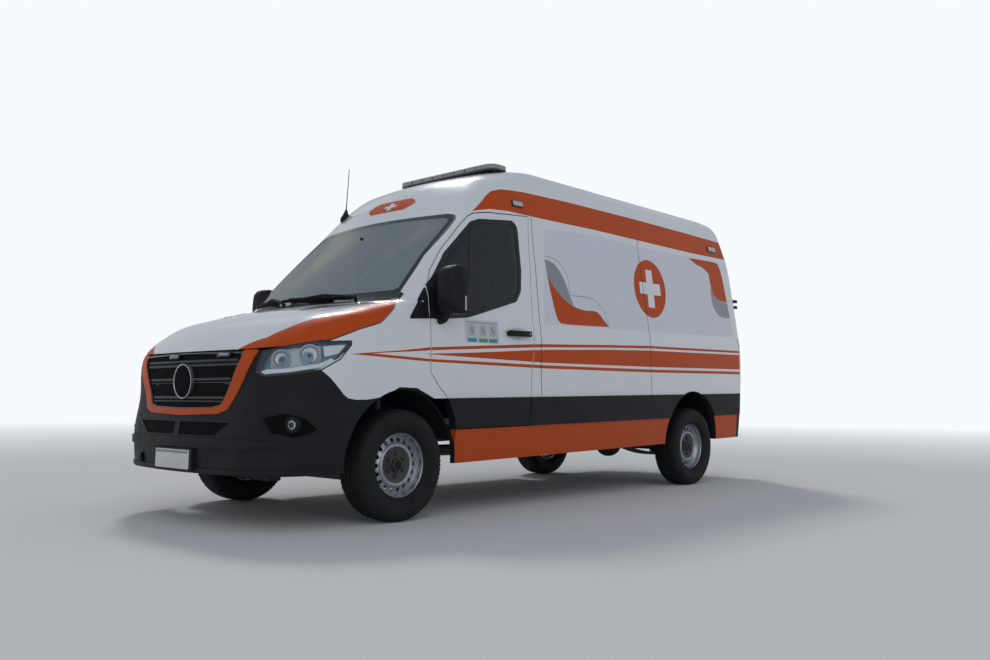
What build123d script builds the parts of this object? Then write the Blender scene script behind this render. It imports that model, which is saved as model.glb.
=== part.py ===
from build123d import *
import math
import os
from collections import namedtuple

# High-roof panel-van ambulance, millimetres.
# X points to the vehicle's left, Y to its rear and Z up.
# The origin is on the ground midway between the bumpers.
# The bodywork is drawn level, then leaned forward about the front axle by RAKE, as it stands on its springs.
# The axles, knuckles and wheels are drawn where they stand.
# What is ahead of the load space is placed from the front axle, and the tail from the rear axle.

# Overall
WHEELBASE = 3665
FRONT_OVERHANG = 1026
REAR_OVERHANG = 1241
LENGTH = FRONT_OVERHANG + WHEELBASE + REAR_OVERHANG
FRONT_AXLE_Y = -1940
REAR_AXLE_Y = FRONT_AXLE_Y + WHEELBASE
MIDWAY = FRONT_OVERHANG - LENGTH / 2 - FRONT_AXLE_Y
RAKE = 1.036
GAP = 7
WALL = 48
GLASS = 6

# Wheels, 235/65 R16 on 16 inch steel rims
TYRE_RADIUS = 356
AXLE_HEIGHT = TYRE_RADIUS
TYRE_WIDTH = 235
TRACK_HALF = 852
RIM_FLANGE_RADIUS = 221
RIM_SEAT_RADIUS = 203
RIM_WIDTH = 165
RIM_WALL = 7
HUB_RADIUS = 70
SPINDLE_RADIUS = 28
BEARING_GAP = 0.05
BRAKE_RADIUS = 150

# Wheel arches in the body's level frame
ARCH_RADIUS = TYRE_RADIUS + 116
FRONT_ARCH = (FRONT_AXLE_Y, AXLE_HEIGHT + 9)
REAR_ARCH = (REAR_AXLE_Y - 25, AXLE_HEIGHT - 26)
LINER = 6

# Heights in the level frame
SILL_BOTTOM = 338
BAND_RAISE = 10
BAND_FRONT = -2440
BAND_REAR = REAR_AXLE_Y + 915
ROOF_SEAM = 2175
FLOOR_TOP = 640
FLOOR_THICKNESS = 40

# Chassis
RAIL_X = TRACK_HALF - 452
RAIL_BOTTOM = 470
CROSS_MEMBERS = (-2700, -1240, -300, 700, REAR_AXLE_Y - 225, REAR_AXLE_Y + 875)
RAIL_REAR = REAR_AXLE_Y + 1065
ENGINE_HALF = RAIL_X - 120
KINGPIN_X = TRACK_HALF - 152
BALL_RADIUS = 14
ARM_BOTTOM = AXLE_HEIGHT - 186
KNUCKLE_TOP = AXLE_HEIGHT + 154
STRUT_RADIUS = 25
STRUT_TOP = FRONT_ARCH[1] + ARCH_RADIUS - 32
SPINDLE_END = TRACK_HALF + 28
HUB_INNER = TRACK_HALF - 62
HUB_OUTER = TRACK_HALF + 48
DISC_PLACE = 40
SPRING_X = TRACK_HALF - 292
EXHAUST_X = SPRING_X - 140
EXHAUST = [
    (-300, -1500, 400), (-300, -700, 330), (-EXHAUST_X, 0, 310), (-EXHAUST_X, 1150, 310),
    (-EXHAUST_X - 50, 1330, 330),
]
FRONT_WALL_X = TRACK_HALF - 352
REAR_WALL_X = TRACK_HALF - 232
FRONT_LINER_LOW = 500

# Inside
CAB_FLOOR_FRONT = -1500
BULKHEAD_Y = -545
DASH_HALF = 800
WHEEL_X = 420
COLUMN_FOOT = (-1700, 1120)
COLUMN_TILT = math.radians(48)
COLUMN_RADIUS = 45
COLUMN_LENGTH = 270
SHAFT_RADIUS = 12
HUB_DEPTH = 50
STEERING_RADIUS = 195
SEATS = ((430, 480), (-330, 760))

# Roof equipment
BAR_Y = -511
BAR_Z = 2599
BAR_HALF = 545
BAR_DEPTH = 220
BAR_HEIGHT = 40
ANTENNA_FOOT = (-665, -1105, 2250)
MAST_LEAN = -5
MAST_LENGTH = 440
MIRROR_X = 1070

# Rear door hinges, level frame
HINGE_X = 813.5
HINGE_Y = REAR_AXLE_Y + 1113
HINGE_HEIGHTS = (715, 1700)
PIN_RADIUS = 9
BARREL_RADIUS = 16
BARREL_HALF = 14
LUG_HALF = 45

# Towing socket behind the front bumper
SOCKET_X = -470
SOCKET_Z = 400
SOCKET_MOUTH = -2870
SOCKET_RADIUS = 10
SOCKET_DEPTH = 60

# Bumpers
STEP_HALF = 780
STEP_FRONT = REAR_AXLE_Y + 1020
STEP_REAR = REAR_AXLE_Y + REAR_OVERHANG + 4

FAR = 4000

# The skin, as plan outlines from the sill up to the roof.
# height and nose are places, and tail is how far the outline reaches behind the rear axle.
# nose_radius is the bow of the front, and corner and tail_corner are the corner radii.
# tilt is the lean to the rear in degrees.
Outline = namedtuple("Outline", "height nose half_width nose_radius corner tail tail_corner tilt")
SKIN = [
    Outline(338, -2960, 955, 3600, 460, 1057, 190, 0),
    Outline(565, -2962, 974, 3600, 460, 1065, 190, 0),
    Outline(775, -2918, 982, 4000, 460, 1075, 190, 0),
    Outline(1085, -2878, 984, 4200, 470, 1090, 190, 0),
    Outline(1180, -2780, 980, 3500, 450, 1093, 190, 0),
    Outline(1270, -2645, 974, 2700, 410, 1095, 190, 0),
    Outline(1340, -2430, 963, 2300, 330, 1095, 190, 0),
    Outline(1420, -2085, 956, 1900, 200, 1091, 190, 0),
    Outline(1750, -1730, 925, 2300, 150, 1056, 190, 0),
    Outline(2130, -1305, 884, 2800, 196, 1000, 190, 0),
    Outline(2300, -1148, 847, 2600, 289, 973, 195, 0.3),
    Outline(2426, -990, 814, 2300, 330, 950, 200, 0.45),
    Outline(2506, -790, 763, 2100, 320, 920, 220, 0.45),
    Outline(2566, -558, 650, 1900, 260, 875, 240, 0.45),
    Outline(2604, -299, 500, 1700, 240, 755, 240, 0.45),
]
TILT_PIVOT_Y = -400


def plan_wire(outline, inset, drop):
    """One plan outline, inset and lowered, as three arcs at the front and two at the rear."""
    half_width = outline.half_width - inset
    corner = max(outline.corner - inset, 20)
    bow = outline.nose_radius - inset
    nose = outline.nose + drop.forward - TILT_PIVOT_Y
    tail = REAR_AXLE_Y + outline.tail - inset - TILT_PIVOT_Y
    tail_corner = max(outline.tail_corner - inset, 20)
    bow_centre = nose + bow
    corner_y = bow_centre - math.sqrt((bow - corner) ** 2 - (half_width - corner) ** 2)
    reach = bow / (bow - corner)
    join = ((half_width - corner) * reach, bow_centre + (corner_y - bow_centre) * reach)
    middle = math.atan2(corner_y - bow_centre, half_width - corner) / 2
    bulge = (half_width - corner + corner * math.cos(middle), corner_y + corner * math.sin(middle))
    slant = tail_corner * math.sqrt(0.5)
    tail_bulge = (half_width - tail_corner + slant, tail - tail_corner + slant)
    tail_start = tail - tail_corner
    edges = [
        ThreePointArc((-join[0], join[1]), (0, nose), join),
        ThreePointArc(join, bulge, (half_width, corner_y)),
        Line((half_width, corner_y), (half_width, tail_start)),
        ThreePointArc((half_width, tail_start), tail_bulge, (half_width - tail_corner, tail)),
        Line((half_width - tail_corner, tail), (tail_corner - half_width, tail)),
        ThreePointArc(
            (tail_corner - half_width, tail), (-tail_bulge[0], tail_bulge[1]), (-half_width, tail_start),
        ),
        Line((-half_width, tail_start), (-half_width, corner_y)),
        ThreePointArc((-half_width, corner_y), (-bulge[0], bulge[1]), (-join[0], join[1])),
    ]
    lean = math.radians(outline.tilt)
    origin = (0, TILT_PIVOT_Y, outline.height - drop.down)
    plane = Plane(origin=origin, x_dir=(1, 0, 0), z_dir=(0, math.sin(lean), math.cos(lean)))
    return Wire(edges).moved(plane.location)


Drop = namedtuple("Drop", "forward down")


def skin_drop(index, inset):
    """How far an outline moves back and down to lie inset below the sloping front."""
    before = SKIN[max(index - 1, 0)]
    after = SKIN[min(index + 1, len(SKIN) - 1)]
    run = after.nose - before.nose
    rise = after.height - before.height
    slope = math.hypot(run, rise)
    return Drop(inset * rise / slope, inset * run / slope)


def envelope(inset):
    """The whole body as a closed solid, inset from the outer skin."""
    wires = []
    for index, outline in enumerate(SKIN):
        drop = skin_drop(index, inset)
        if index == 0 and inset > 0:
            drop = Drop(inset, inset)
        wires.append(plan_wire(outline, inset, drop))
    return Solid.make_loft(wires, ruled=True)


def block(x0, x1, y0, y1, z0, z1):
    """A box between two corners."""
    centre = ((x0 + x1) / 2, (y0 + y1) / 2, (z0 + z1) / 2)
    return Pos(*centre) * Box(abs(x1 - x0), abs(y1 - y0), abs(z1 - z0))


def rod_x(radius, x0, x1, y, z):
    """A round bar along X."""
    return Pos((x0 + x1) / 2, y, z) * Rot(0, 90, 0) * Cylinder(radius, abs(x1 - x0))


def rod_y(radius, x, y0, y1, z):
    """A round bar along Y."""
    return Pos(x, (y0 + y1) / 2, z) * Rot(90, 0, 0) * Cylinder(radius, abs(y1 - y0))


def rod_z(radius, x, y, z0, z1):
    """A round bar along Z."""
    return Pos(x, y, (z0 + z1) / 2) * Cylinder(radius, abs(z1 - z0))


def right_hand(shape):
    """The same piece on the vehicle's right."""
    return mirror(shape, about=Plane.YZ)


def stance(shape):
    """Lean a level piece about the front axle, as the body stands."""
    pivot = Location((0, FRONT_AXLE_Y, AXLE_HEIGHT))
    return shape.moved(pivot * Location((0, 0, 0), (RAKE, 0, 0)) * pivot.inverse())


def solids_of(shape):
    """The solids of a result, the slivers left by cuts dropped."""
    if isinstance(shape, (list, tuple, ShapeList)):
        found = [solid for item in shape for solid in item.solids()]
    else:
        found = shape.solids()
    return [solid for solid in found if solid.volume > 2000]


def save(name, *shapes):
    """Write one node, with the origin midway between the bumpers."""
    found = [Pos(0, MIDWAY, 0) * solid for shape in shapes for solid in solids_of(shape)]
    export_step(Compound(children=found), f"parts/{name}.step")
    print(f"{name:26s} {len(found)} solids")


def save_level(name, *shapes):
    """Write one node of the bodywork."""
    save(name, *[stance(solid) for shape in shapes for solid in solids_of(shape)])


# Side view of the front door opening, from the front top corner round by the rear
DOOR_OPENING = [
    (-1714, 1290), (-1714, 1077), (-1706, 931), (-1640, 850), (-1572, 788), (-1500, 640), (-1487, 563),
    (-708, 563), (-687, 773), (-640, 1144), (-629, 1490), (-582, 2150), (-1044, 2117), (-1167, 2100),
    (-1217, 2074), (-1321, 1984), (-1525, 1781), (-1646, 1635), (-1684, 1563),
]
DOOR_WINDOW = [
    (-1688, 1309), (-1337, 1341), (-818, 1485), (-765, 1560), (-742, 1713), (-751, 2040), (-790, 2072),
    (-1150, 2035), (-1222, 2008), (-1310, 1930), (-1500, 1755), (-1638, 1580), (-1672, 1480),
]
SLIDING_DOOR = [(-520, 563), (760, 563), (760, 2130), (-520, 2145)]
# Side view of the hood's shut line, from the grille to the windscreen end
HOOD_LINE = [
    (-FAR, 1078), (-2850, 1078), (-2706, 1096), (-2503, 1131), (-2336, 1196), (-2147, 1248), (-2095, 1285),
    (-1949, 1406),
]
HOOD_REAR_SIDE = -1949
HOOD_CORNER_X = 858
HOOD_REAR_BOW = [(600, -2041), (450, -2092), (0, -2166)]
# Side view of the edge between bumper and fender
BUMPER_LINE = [
    (-FAR, 942), (-2565, 946), (-2516, 903), (-2433, 807), (-2400, 785), (-2340, 775), (-1400, 775),
]
# Front view of the windscreen, half of it
WINDSCREEN = [
    (0, 1404), (600, 1411), (790, 1424), (828, 1442), (789, 1756), (770, 2050), (742, 2088), (680, 2103),
    (0, 2110),
]
# Front view of the grille with its trim, half of it
GRILLE_TRIM = [(0, 683), (400, 695), (485, 722), (605, 906), (790, 1000), (790, 1086), (0, 1086)]
# The headlight seen square to the corner, along the corner and up, about HEADLIGHT_ORIGIN
LAMP_TURN = math.radians(50)
LAMP_ORIGIN = (850, -2620, 900)
LAMP_REACH = 330
HEADLIGHT = [
    (-280, 41), (-243, 165), (-70, 200), (110, 228), (160, 222), (275, 229), (272, 200), (207, 113),
    (103, 51),
    (-75, 26), (-230, 14),
]
# Front view of the rear door opening, half of it
REAR_DOOR = [(815, 640), (815, 1330), (800, 1800), (742, 2300), (680, 2385)]
REAR_WINDOW = [(130, 1400), (690, 1400), (672, 1880), (640, 1925), (150, 1925), (130, 1900)]
REAR_DOOR_GAP = 11
TAIL_LIGHT = (785, 1333)
TAIL_LIGHT_FROM = 830
TAIL_LIGHT_FRONT = REAR_AXLE_Y + 925
REAR_SILL_FRONT = REAR_AXLE_Y + 995
TAIL_ZONE = REAR_AXLE_Y + 775
SIDE_FROM = 500
# Side view of the front fender
FENDER = [(-FAR, 1415), (-1700, 1415), (-1700, 1290), (-1480, 900), (-1480, 200), (-FAR, 200)]
FENDER_FROM = 770
# Front view of the bumper's air slot, half of it
SLOT = [(400, 568), (530, 645), (30, 645), (30, 568)]
# Side view of the dashboard
DASHBOARD = [
    (-1850, 1330), (-1700, 1390), (-1560, 1330), (-1540, 1180), (-1640, 1000), (-1700, 900), (-1850, 900),
]


def hinge_lugs(height):
    """The fixed half of a rear door hinge: two lugs and the pin between them."""
    low = height - LUG_HALF
    high = height + LUG_HALF
    lugs = block(HINGE_X + 6, HINGE_X + 60, HINGE_Y - 138, HINGE_Y + 12, low, high)
    lugs = lugs + block(HINGE_X - 12, HINGE_X + 10, HINGE_Y - 12, HINGE_Y + 12, low, high)
    swing_half = BARREL_HALF + 2
    bottom = height - swing_half
    top = height + swing_half
    swing = block(HINGE_X - 60, HINGE_X + 90, HINGE_Y - 238, HINGE_Y + 60, bottom, top)
    return (lugs - swing) + rod_z(PIN_RADIUS, HINGE_X, HINGE_Y, low, high)


def hinge_arm(height):
    """The moving half: a barrel round the pin on an arm from the door."""
    low = height - BARREL_HALF
    high = height + BARREL_HALF
    arm = block(HINGE_X - 70, HINGE_X - 24, HINGE_Y - 93, HINGE_Y + 6, low, high)
    arm = arm + block(HINGE_X - 30, HINGE_X - 8, HINGE_Y - 14, HINGE_Y + 6, low, high)
    bore = rod_z(PIN_RADIUS + BEARING_GAP, HINGE_X, HINGE_Y, low, high)
    return (rod_z(BARREL_RADIUS, HINGE_X, HINGE_Y, low, high) + arm) - bore


def grown(points, by):
    """A closed outline moved outwards by a distance, or inwards where it is negative."""
    face = make_face(Polyline(*points, close=True))
    return offset(face, amount=by, kind=Kind.INTERSECTION) if by else face


def both_halves(points):
    """A half outline with its mirror image."""
    return points + [(-x, z) for x, z in reversed(points) if x > 0]


def from_side(points, by=0, inboard=0):
    """A side view outline run through the left half, outboard of a plane."""
    return Pos(inboard, 0, 0) * extrude(Plane.YZ * grown(points, by), amount=FAR)


def from_front(points, near, far, by=0):
    """A front view outline run from y = near back to y = far."""
    return Pos(0, near, 0) * extrude(Plane.XZ * grown(points, by), amount=near - far)


def from_above(points, low, high, by=0):
    """A plan outline run from one height to another."""
    return Pos(0, 0, low) * extrude(Plane.XY * grown(points, by), amount=high - low)


os.makedirs("parts", exist_ok=True)
outer = envelope(0)
inner = envelope(WALL)
band_outlines = [plan_wire(outline, -BAND_RAISE, Drop(-BAND_RAISE, 0)) for outline in SKIN[1:3]]
band = Solid.make_loft(band_outlines, ruled=True) & block(-FAR, FAR, BAND_FRONT, BAND_REAR, 0, FAR)
left_half = block(0, FAR, -FAR, FAR, -FAR, FAR)
shell = ((outer + band) - inner) & left_half
glass_shell = (outer - envelope(GLASS)) & left_half
room = inner & left_half
cabin = envelope(WALL + GAP) & left_half

# The zones that split the skin into panels
arches = rod_x(ARCH_RADIUS, 0, FAR, *FRONT_ARCH) + rod_x(ARCH_RADIUS, 0, FAR, *REAR_ARCH)
door_zone = from_side(DOOR_OPENING, 0, SIDE_FROM)
door_leaf = from_side(DOOR_OPENING, -GAP, SIDE_FROM)
window_zone = from_side(DOOR_WINDOW, 0, SIDE_FROM)
slider_zone = from_side(SLIDING_DOOR, 0, SIDE_FROM)
slider_leaf = from_side(SLIDING_DOOR, -GAP, SIDE_FROM)
rear_zone = from_front(both_halves(REAR_DOOR), FAR, TAIL_ZONE) & left_half
rear_half = block(REAR_DOOR_GAP / 2, FAR, 0, FAR, 0, FAR)
rear_leaf = from_front(both_halves(REAR_DOOR), FAR, TAIL_ZONE, -GAP) & rear_half
rear_window_zone = from_front(REAR_WINDOW, FAR, TAIL_ZONE)
windscreen_zone = from_front(both_halves(WINDSCREEN), -1000, -FAR) & left_half
trim_zone = from_front(both_halves(GRILLE_TRIM), -2500, -FAR) & left_half
hood_plan = [
    (0, -FAR), (FAR, -FAR), (FAR, HOOD_REAR_SIDE), (HOOD_CORNER_X, HOOD_REAR_SIDE), *HOOD_REAR_BOW,
]
hood_outline = HOOD_LINE + [(HOOD_REAR_SIDE, 1700), (-FAR, 1700)]
hood_zone = from_side(hood_outline) & from_above(hood_plan, 0, FAR)
hood_cut = from_side(hood_outline, GAP) & from_above(hood_plan, 0, FAR, GAP)
lamp_along = (math.cos(LAMP_TURN), math.sin(LAMP_TURN), 0)
lamp_ahead = (math.sin(LAMP_TURN), -math.cos(LAMP_TURN), 0)
lamp_plane = Plane(origin=LAMP_ORIGIN, x_dir=lamp_along, z_dir=lamp_ahead)
lamp_zone = extrude(lamp_plane * grown(HEADLIGHT, 0), amount=LAMP_REACH, both=True)
bumper_zone = from_side(BUMPER_LINE + [(-1400, 0), (-FAR, 0)])
fender_zone = from_side(FENDER, 0, FENDER_FROM)
cowl_zone = block(0, HOOD_CORNER_X, HOOD_REAR_BOW[-1][1] - 100, -1840, 1330, 1500)
header_zone = block(0, 690, -FAR, -1000, 2100, FAR)
roof_zone = block(0, FAR, -FAR, FAR, ROOF_SEAM, FAR) + header_zone
tail_light_zone = block(TAIL_LIGHT_FROM, FAR, TAIL_LIGHT_FRONT, FAR, *TAIL_LIGHT)
rear_sill_zone = block(0, FAR, REAR_SILL_FRONT, FAR, 0, REAR_DOOR[0][1])


# Skin panels
roof = (shell & roof_zone) - windscreen_zone - rear_zone - door_zone
save_level("roof", roof + right_hand(roof))
windscreen = glass_shell & windscreen_zone
save_level("windscreen", windscreen + right_hand(windscreen))
hood = (shell & hood_zone) - windscreen_zone - lamp_zone
save_level("hood", hood + right_hand(hood))
front = (shell & block(0, FAR, -FAR, -1700, 0, 1500)) - hood_cut - windscreen_zone
lamp = front & lamp_zone
save_level("headlights", lamp, right_hand(lamp))
grille = (front & trim_zone) - lamp_zone
save_level("grille", grille + right_hand(grille))
bumper_slot = from_front(SLOT, -2500, -FAR)
bumper = (front & bumper_zone) - lamp_zone - trim_zone - arches - bumper_slot
port = rod_y(36, SOCKET_X, -3050, SOCKET_MOUTH + 100, SOCKET_Z)
save_level("front_bumper", (bumper + right_hand(bumper)) - port)
cowl = front & cowl_zone
save_level("cowl", cowl + right_hand(cowl))
fender = (shell & fender_zone) - hood_cut - windscreen_zone - bumper_zone - lamp_zone
fender = fender - trim_zone - cowl_zone - door_zone - arches
save_level("front_fenders", fender, right_hand(fender))
side = (shell & block(SIDE_FROM, FAR, -1990, FAR, 0, ROOF_SEAM)) - door_zone - hood_cut - windscreen_zone
side = side - header_zone - cowl_zone - fender_zone - rear_zone - tail_light_zone - rear_sill_zone - arches
for height in HINGE_HEIGHTS:
    side = side + hinge_lugs(height)
save_level("body_side_left", side)
save_level("body_side_right", right_hand(side - slider_zone))
save_level("sliding_side_door", right_hand((shell & slider_leaf) - arches))
tail_light = (shell & tail_light_zone) - rear_zone
save_level("tail_lights", tail_light, right_hand(tail_light))
rear_sill = shell & rear_sill_zone
step = block(0, STEP_HALF, STEP_FRONT, STEP_REAR, 470, 600)
step = fillet(step.edges().filter_by(Axis.Z).sort_by(Axis.X)[-1:], 40)
rear_bumper = rear_sill + step - rear_zone
save_level("rear_bumper", rear_bumper + right_hand(rear_bumper))

# Front doors with their windows and mirrors
door = (shell & door_leaf) - window_zone - arches
window = (glass_shell & window_zone) & door_leaf
mirror_arm = block(900, 1040, -1665, -1600, 1260, 1305) + block(1000, 1040, -1665, -1600, 1260, 1360)
mirror_head = Pos(MIRROR_X, -1620, 1490) * Box(204, 140, 335)
mirror_head = fillet(mirror_head.edges().filter_by(Axis.Y), 50)
mirror_head = fillet(mirror_head.edges().group_by(Axis.Y)[0], 40)
door_mirror = (mirror_arm + mirror_head) - outer
save_level("front_door_left", door)
save_level("front_window_left", window)
save_level("mirror_left", door_mirror)
save_level("front_door_right", right_hand(door))
save_level("front_window_right", right_hand(window))
save_level("mirror_right", right_hand(door_mirror))

# Rear doors
rear_door = (shell & rear_leaf) - rear_window_zone
for height in HINGE_HEIGHTS:
    rear_door = rear_door + hinge_arm(height)
rear_window = glass_shell & rear_window_zone
save_level("rear_door_left", rear_door)
save_level("rear_window_left", rear_window)
save_level("rear_door_right", right_hand(rear_door))
save_level("rear_window_right", right_hand(rear_window))

# Inside
slab = block(0, FAR, CAB_FLOOR_FRONT, FAR, FLOOR_TOP - FLOOR_THICKNESS, FLOOR_TOP)
front_tube = rod_x(ARCH_RADIUS + LINER, FRONT_WALL_X, FAR, *FRONT_ARCH)
rear_tube = rod_x(ARCH_RADIUS + LINER, REAR_WALL_X, FAR, *REAR_ARCH)
floor_plate = (cabin & slab) - front_tube - rear_tube
save_level("floor", floor_plate + right_hand(floor_plate))
front_liner = front_tube - rod_x(ARCH_RADIUS, FRONT_WALL_X + LINER, FAR, *FRONT_ARCH)
rear_liner = rear_tube - rod_x(ARCH_RADIUS, REAR_WALL_X + LINER, FAR, *REAR_ARCH)
front_liner = (front_liner & room) - block(0, FAR, -FAR, FAR, -FAR, FRONT_LINER_LOW)
rear_liner = (rear_liner & room) - block(0, FAR, -FAR, FAR, -FAR, SILL_BOTTOM)
save_level("wheel_arch_liners", front_liner, rear_liner, right_hand(front_liner), right_hand(rear_liner))
wall = cabin & block(0, FAR, BULKHEAD_Y, BULKHEAD_Y + 30, FLOOR_TOP, FAR)
save_level("bulkhead", wall + right_hand(wall))
dash = from_side(DASHBOARD) & block(0, DASH_HALF, -FAR, FAR, 0, FAR)
column_axis = (0, math.sin(COLUMN_TILT), math.cos(COLUMN_TILT))
column_plane = Plane(origin=(WHEEL_X, *COLUMN_FOOT), x_dir=(1, 0, 0), z_dir=column_axis)
column = column_plane * Pos(0, 0, COLUMN_LENGTH / 2) * Cylinder(COLUMN_RADIUS, COLUMN_LENGTH)
shaft = column_plane * Pos(0, 0, COLUMN_LENGTH) * Cylinder(SHAFT_RADIUS, 2 * HUB_DEPTH)
save_level("dashboard", dash + right_hand(dash) + column + shaft)
rim_ring = Torus(STEERING_RADIUS, 14)
spoke = Pos(STEERING_RADIUS / 2 + 15, 0, 0) * Box(STEERING_RADIUS - 30, 30, 14)
spokes = [Rot(0, 0, turn) * spoke for turn in (0, 180, 250, 290)]
wheel_bore = Cylinder(SHAFT_RADIUS + BEARING_GAP, 2 * HUB_DEPTH)
wheel_lift = COLUMN_LENGTH + HUB_DEPTH / 2 + GAP
steering = column_plane * Pos(0, 0, wheel_lift) * (rim_ring + Cylinder(45, HUB_DEPTH) + spokes - wheel_bore)
save_level("steering_wheel", steering)
seats = []
for centre, width in SEATS:
    half = width / 2
    base = block(centre - half + 40, centre + half - 40, -1230, -820, FLOOR_TOP, 940)
    cushion = block(centre - half, centre + half, -1280, -790, 940, 1080)
    cushion = fillet(cushion.edges().filter_by(Axis.X), 40)
    back = Pos(0, -800, 1080) * Rot(-12, 0, 0) * block(centre - half, centre + half, -60, 60, -60, 600)
    head = Pos(0, -800, 1080) * Rot(-12, 0, 0) * block(centre - 130, centre + 130, -45, 45, 600, 790)
    seats.append(base + cushion + back + head)
save_level("cab_seats", *seats)

# Roof equipment
bar = Pos(0, BAR_Y, BAR_Z) * Box(2 * BAR_HALF, BAR_DEPTH, BAR_HEIGHT)
bar = fillet(bar.edges().filter_by(Axis.Z), 0.4 * BAR_DEPTH)
feet = [Pos(side * 420, BAR_Y, BAR_Z - 60) * Box(90, 140, 120) for side in (-1, 1)]
save_level("light_bar", (bar + feet) - outer)
mast_base = Pos(*ANTENNA_FOOT) * Cone(44, 14, 80)
mast = Pos(*ANTENNA_FOOT) * Rot(MAST_LEAN, 0, 0) * Pos(0, 0, MAST_LENGTH / 2) * Cylinder(4, MAST_LENGTH)
save_level("antenna", (mast_base + mast) - outer)

# Chassis, fixed to the body
rail = block(RAIL_X - 40, RAIL_X + 40, -2780, RAIL_REAR, RAIL_BOTTOM, FLOOR_TOP - FLOOR_THICKNESS)
frame_half = rail & room
for y in CROSS_MEMBERS:
    cross_top = FLOOR_TOP - FLOOR_THICKNESS - 10
    frame_half = frame_half + block(0, RAIL_X, y - 40, y + 40, RAIL_BOTTOM + 20, cross_top)
socket_tube = rod_y(30, SOCKET_X, SOCKET_MOUTH, -2710, SOCKET_Z)
bracket = block(SOCKET_X - 30, -RAIL_X, -2760, -2715, SOCKET_Z - 30, RAIL_BOTTOM + 60)
socket_bore = rod_y(SOCKET_RADIUS, SOCKET_X, SOCKET_MOUTH, SOCKET_MOUTH + SOCKET_DEPTH, SOCKET_Z)
save_level("underbody_frame", (frame_half + right_hand(frame_half) + socket_tube + bracket) - socket_bore)
engine = block(-ENGINE_HALF, ENGINE_HALF, -2560, -1880, 480, 1080) + block(-160, 160, -1880, -1306, 340, 590)
save_level("engine", engine)
tank = fillet(block(480, 850, -560, 160, 330, 560).edges().filter_by(Axis.Y), 50)
save_level("fuel_tank", tank)

# Chassis, drawn where it stands
beam_half = RAIL_X + 50
beam_top = AXLE_HEIGHT - 36
beam = block(-beam_half, beam_half, FRONT_AXLE_Y - 60, FRONT_AXLE_Y + 60, beam_top - 85, beam_top)
post_top = RAIL_BOTTOM - 1.5
post = block(RAIL_X - 35, RAIL_X + 35, FRONT_AXLE_Y - 60, FRONT_AXLE_Y + 60, AXLE_HEIGHT - 56, post_top)
arm = block(RAIL_X + 40, KINGPIN_X + 30, FRONT_AXLE_Y - 45, FRONT_AXLE_Y + 45, ARM_BOTTOM, ARM_BOTTOM + 24)
ball_pin = rod_z(BALL_RADIUS, KINGPIN_X, FRONT_AXLE_Y, ARM_BOTTOM, ARM_BOTTOM + 70)
arm_eye = block(RAIL_X + 20, RAIL_X + 70, FRONT_AXLE_Y - 50, FRONT_AXLE_Y + 50, ARM_BOTTOM, ARM_BOTTOM + 90)
arm_left = arm + ball_pin + arm_eye
save("front_subframe", beam + post + right_hand(post) + arm_left + right_hand(arm_left))
strut_bottom = KNUCKLE_TOP + 4
strut = rod_z(STRUT_RADIUS, KINGPIN_X, FRONT_AXLE_Y, strut_bottom, STRUT_TOP)
strut = strut + rod_z(BALL_RADIUS, KINGPIN_X, FRONT_AXLE_Y, KNUCKLE_TOP - 40, strut_bottom + 10)
save("front_struts", strut, right_hand(strut))
upright = block(-30, 30, -35, 35, ARM_BOTTOM + 34, KNUCKLE_TOP).moved(Location((KINGPIN_X, FRONT_AXLE_Y, 0)))
spindle = rod_x(SPINDLE_RADIUS, KINGPIN_X, SPINDLE_END, FRONT_AXLE_Y, AXLE_HEIGHT)
collar = rod_x(52, KINGPIN_X, HUB_INNER - 8, FRONT_AXLE_Y, AXLE_HEIGHT)
knuckle = upright + spindle + collar
ball_bore = BALL_RADIUS + BEARING_GAP
knuckle = knuckle - rod_z(ball_bore, KINGPIN_X, FRONT_AXLE_Y, 0, ARM_BOTTOM + 75)
knuckle = knuckle - rod_z(ball_bore, KINGPIN_X, FRONT_AXLE_Y, KNUCKLE_TOP - 46, KNUCKLE_TOP + 10)
save("knuckle_left", knuckle)
save("knuckle_right", right_hand(knuckle))
axle_tube = rod_x(45, -HUB_INNER + 8, HUB_INNER - 8, REAR_AXLE_Y, AXLE_HEIGHT)
axle_tube = axle_tube + rod_x(SPINDLE_RADIUS, -SPINDLE_END, SPINDLE_END, REAR_AXLE_Y, AXLE_HEIGHT)
differential = Pos(0, REAR_AXLE_Y, AXLE_HEIGHT) * Sphere(135)
propshaft = rod_y(35, 0, -1300, REAR_AXLE_Y, AXLE_HEIGHT + 20)
pad = block(SPRING_X - 40, SPRING_X + 40, REAR_AXLE_Y - 60, REAR_AXLE_Y + 60, AXLE_HEIGHT - 60, AXLE_HEIGHT)
save("rear_axle", axle_tube + differential + propshaft + pad + right_hand(pad))


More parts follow.
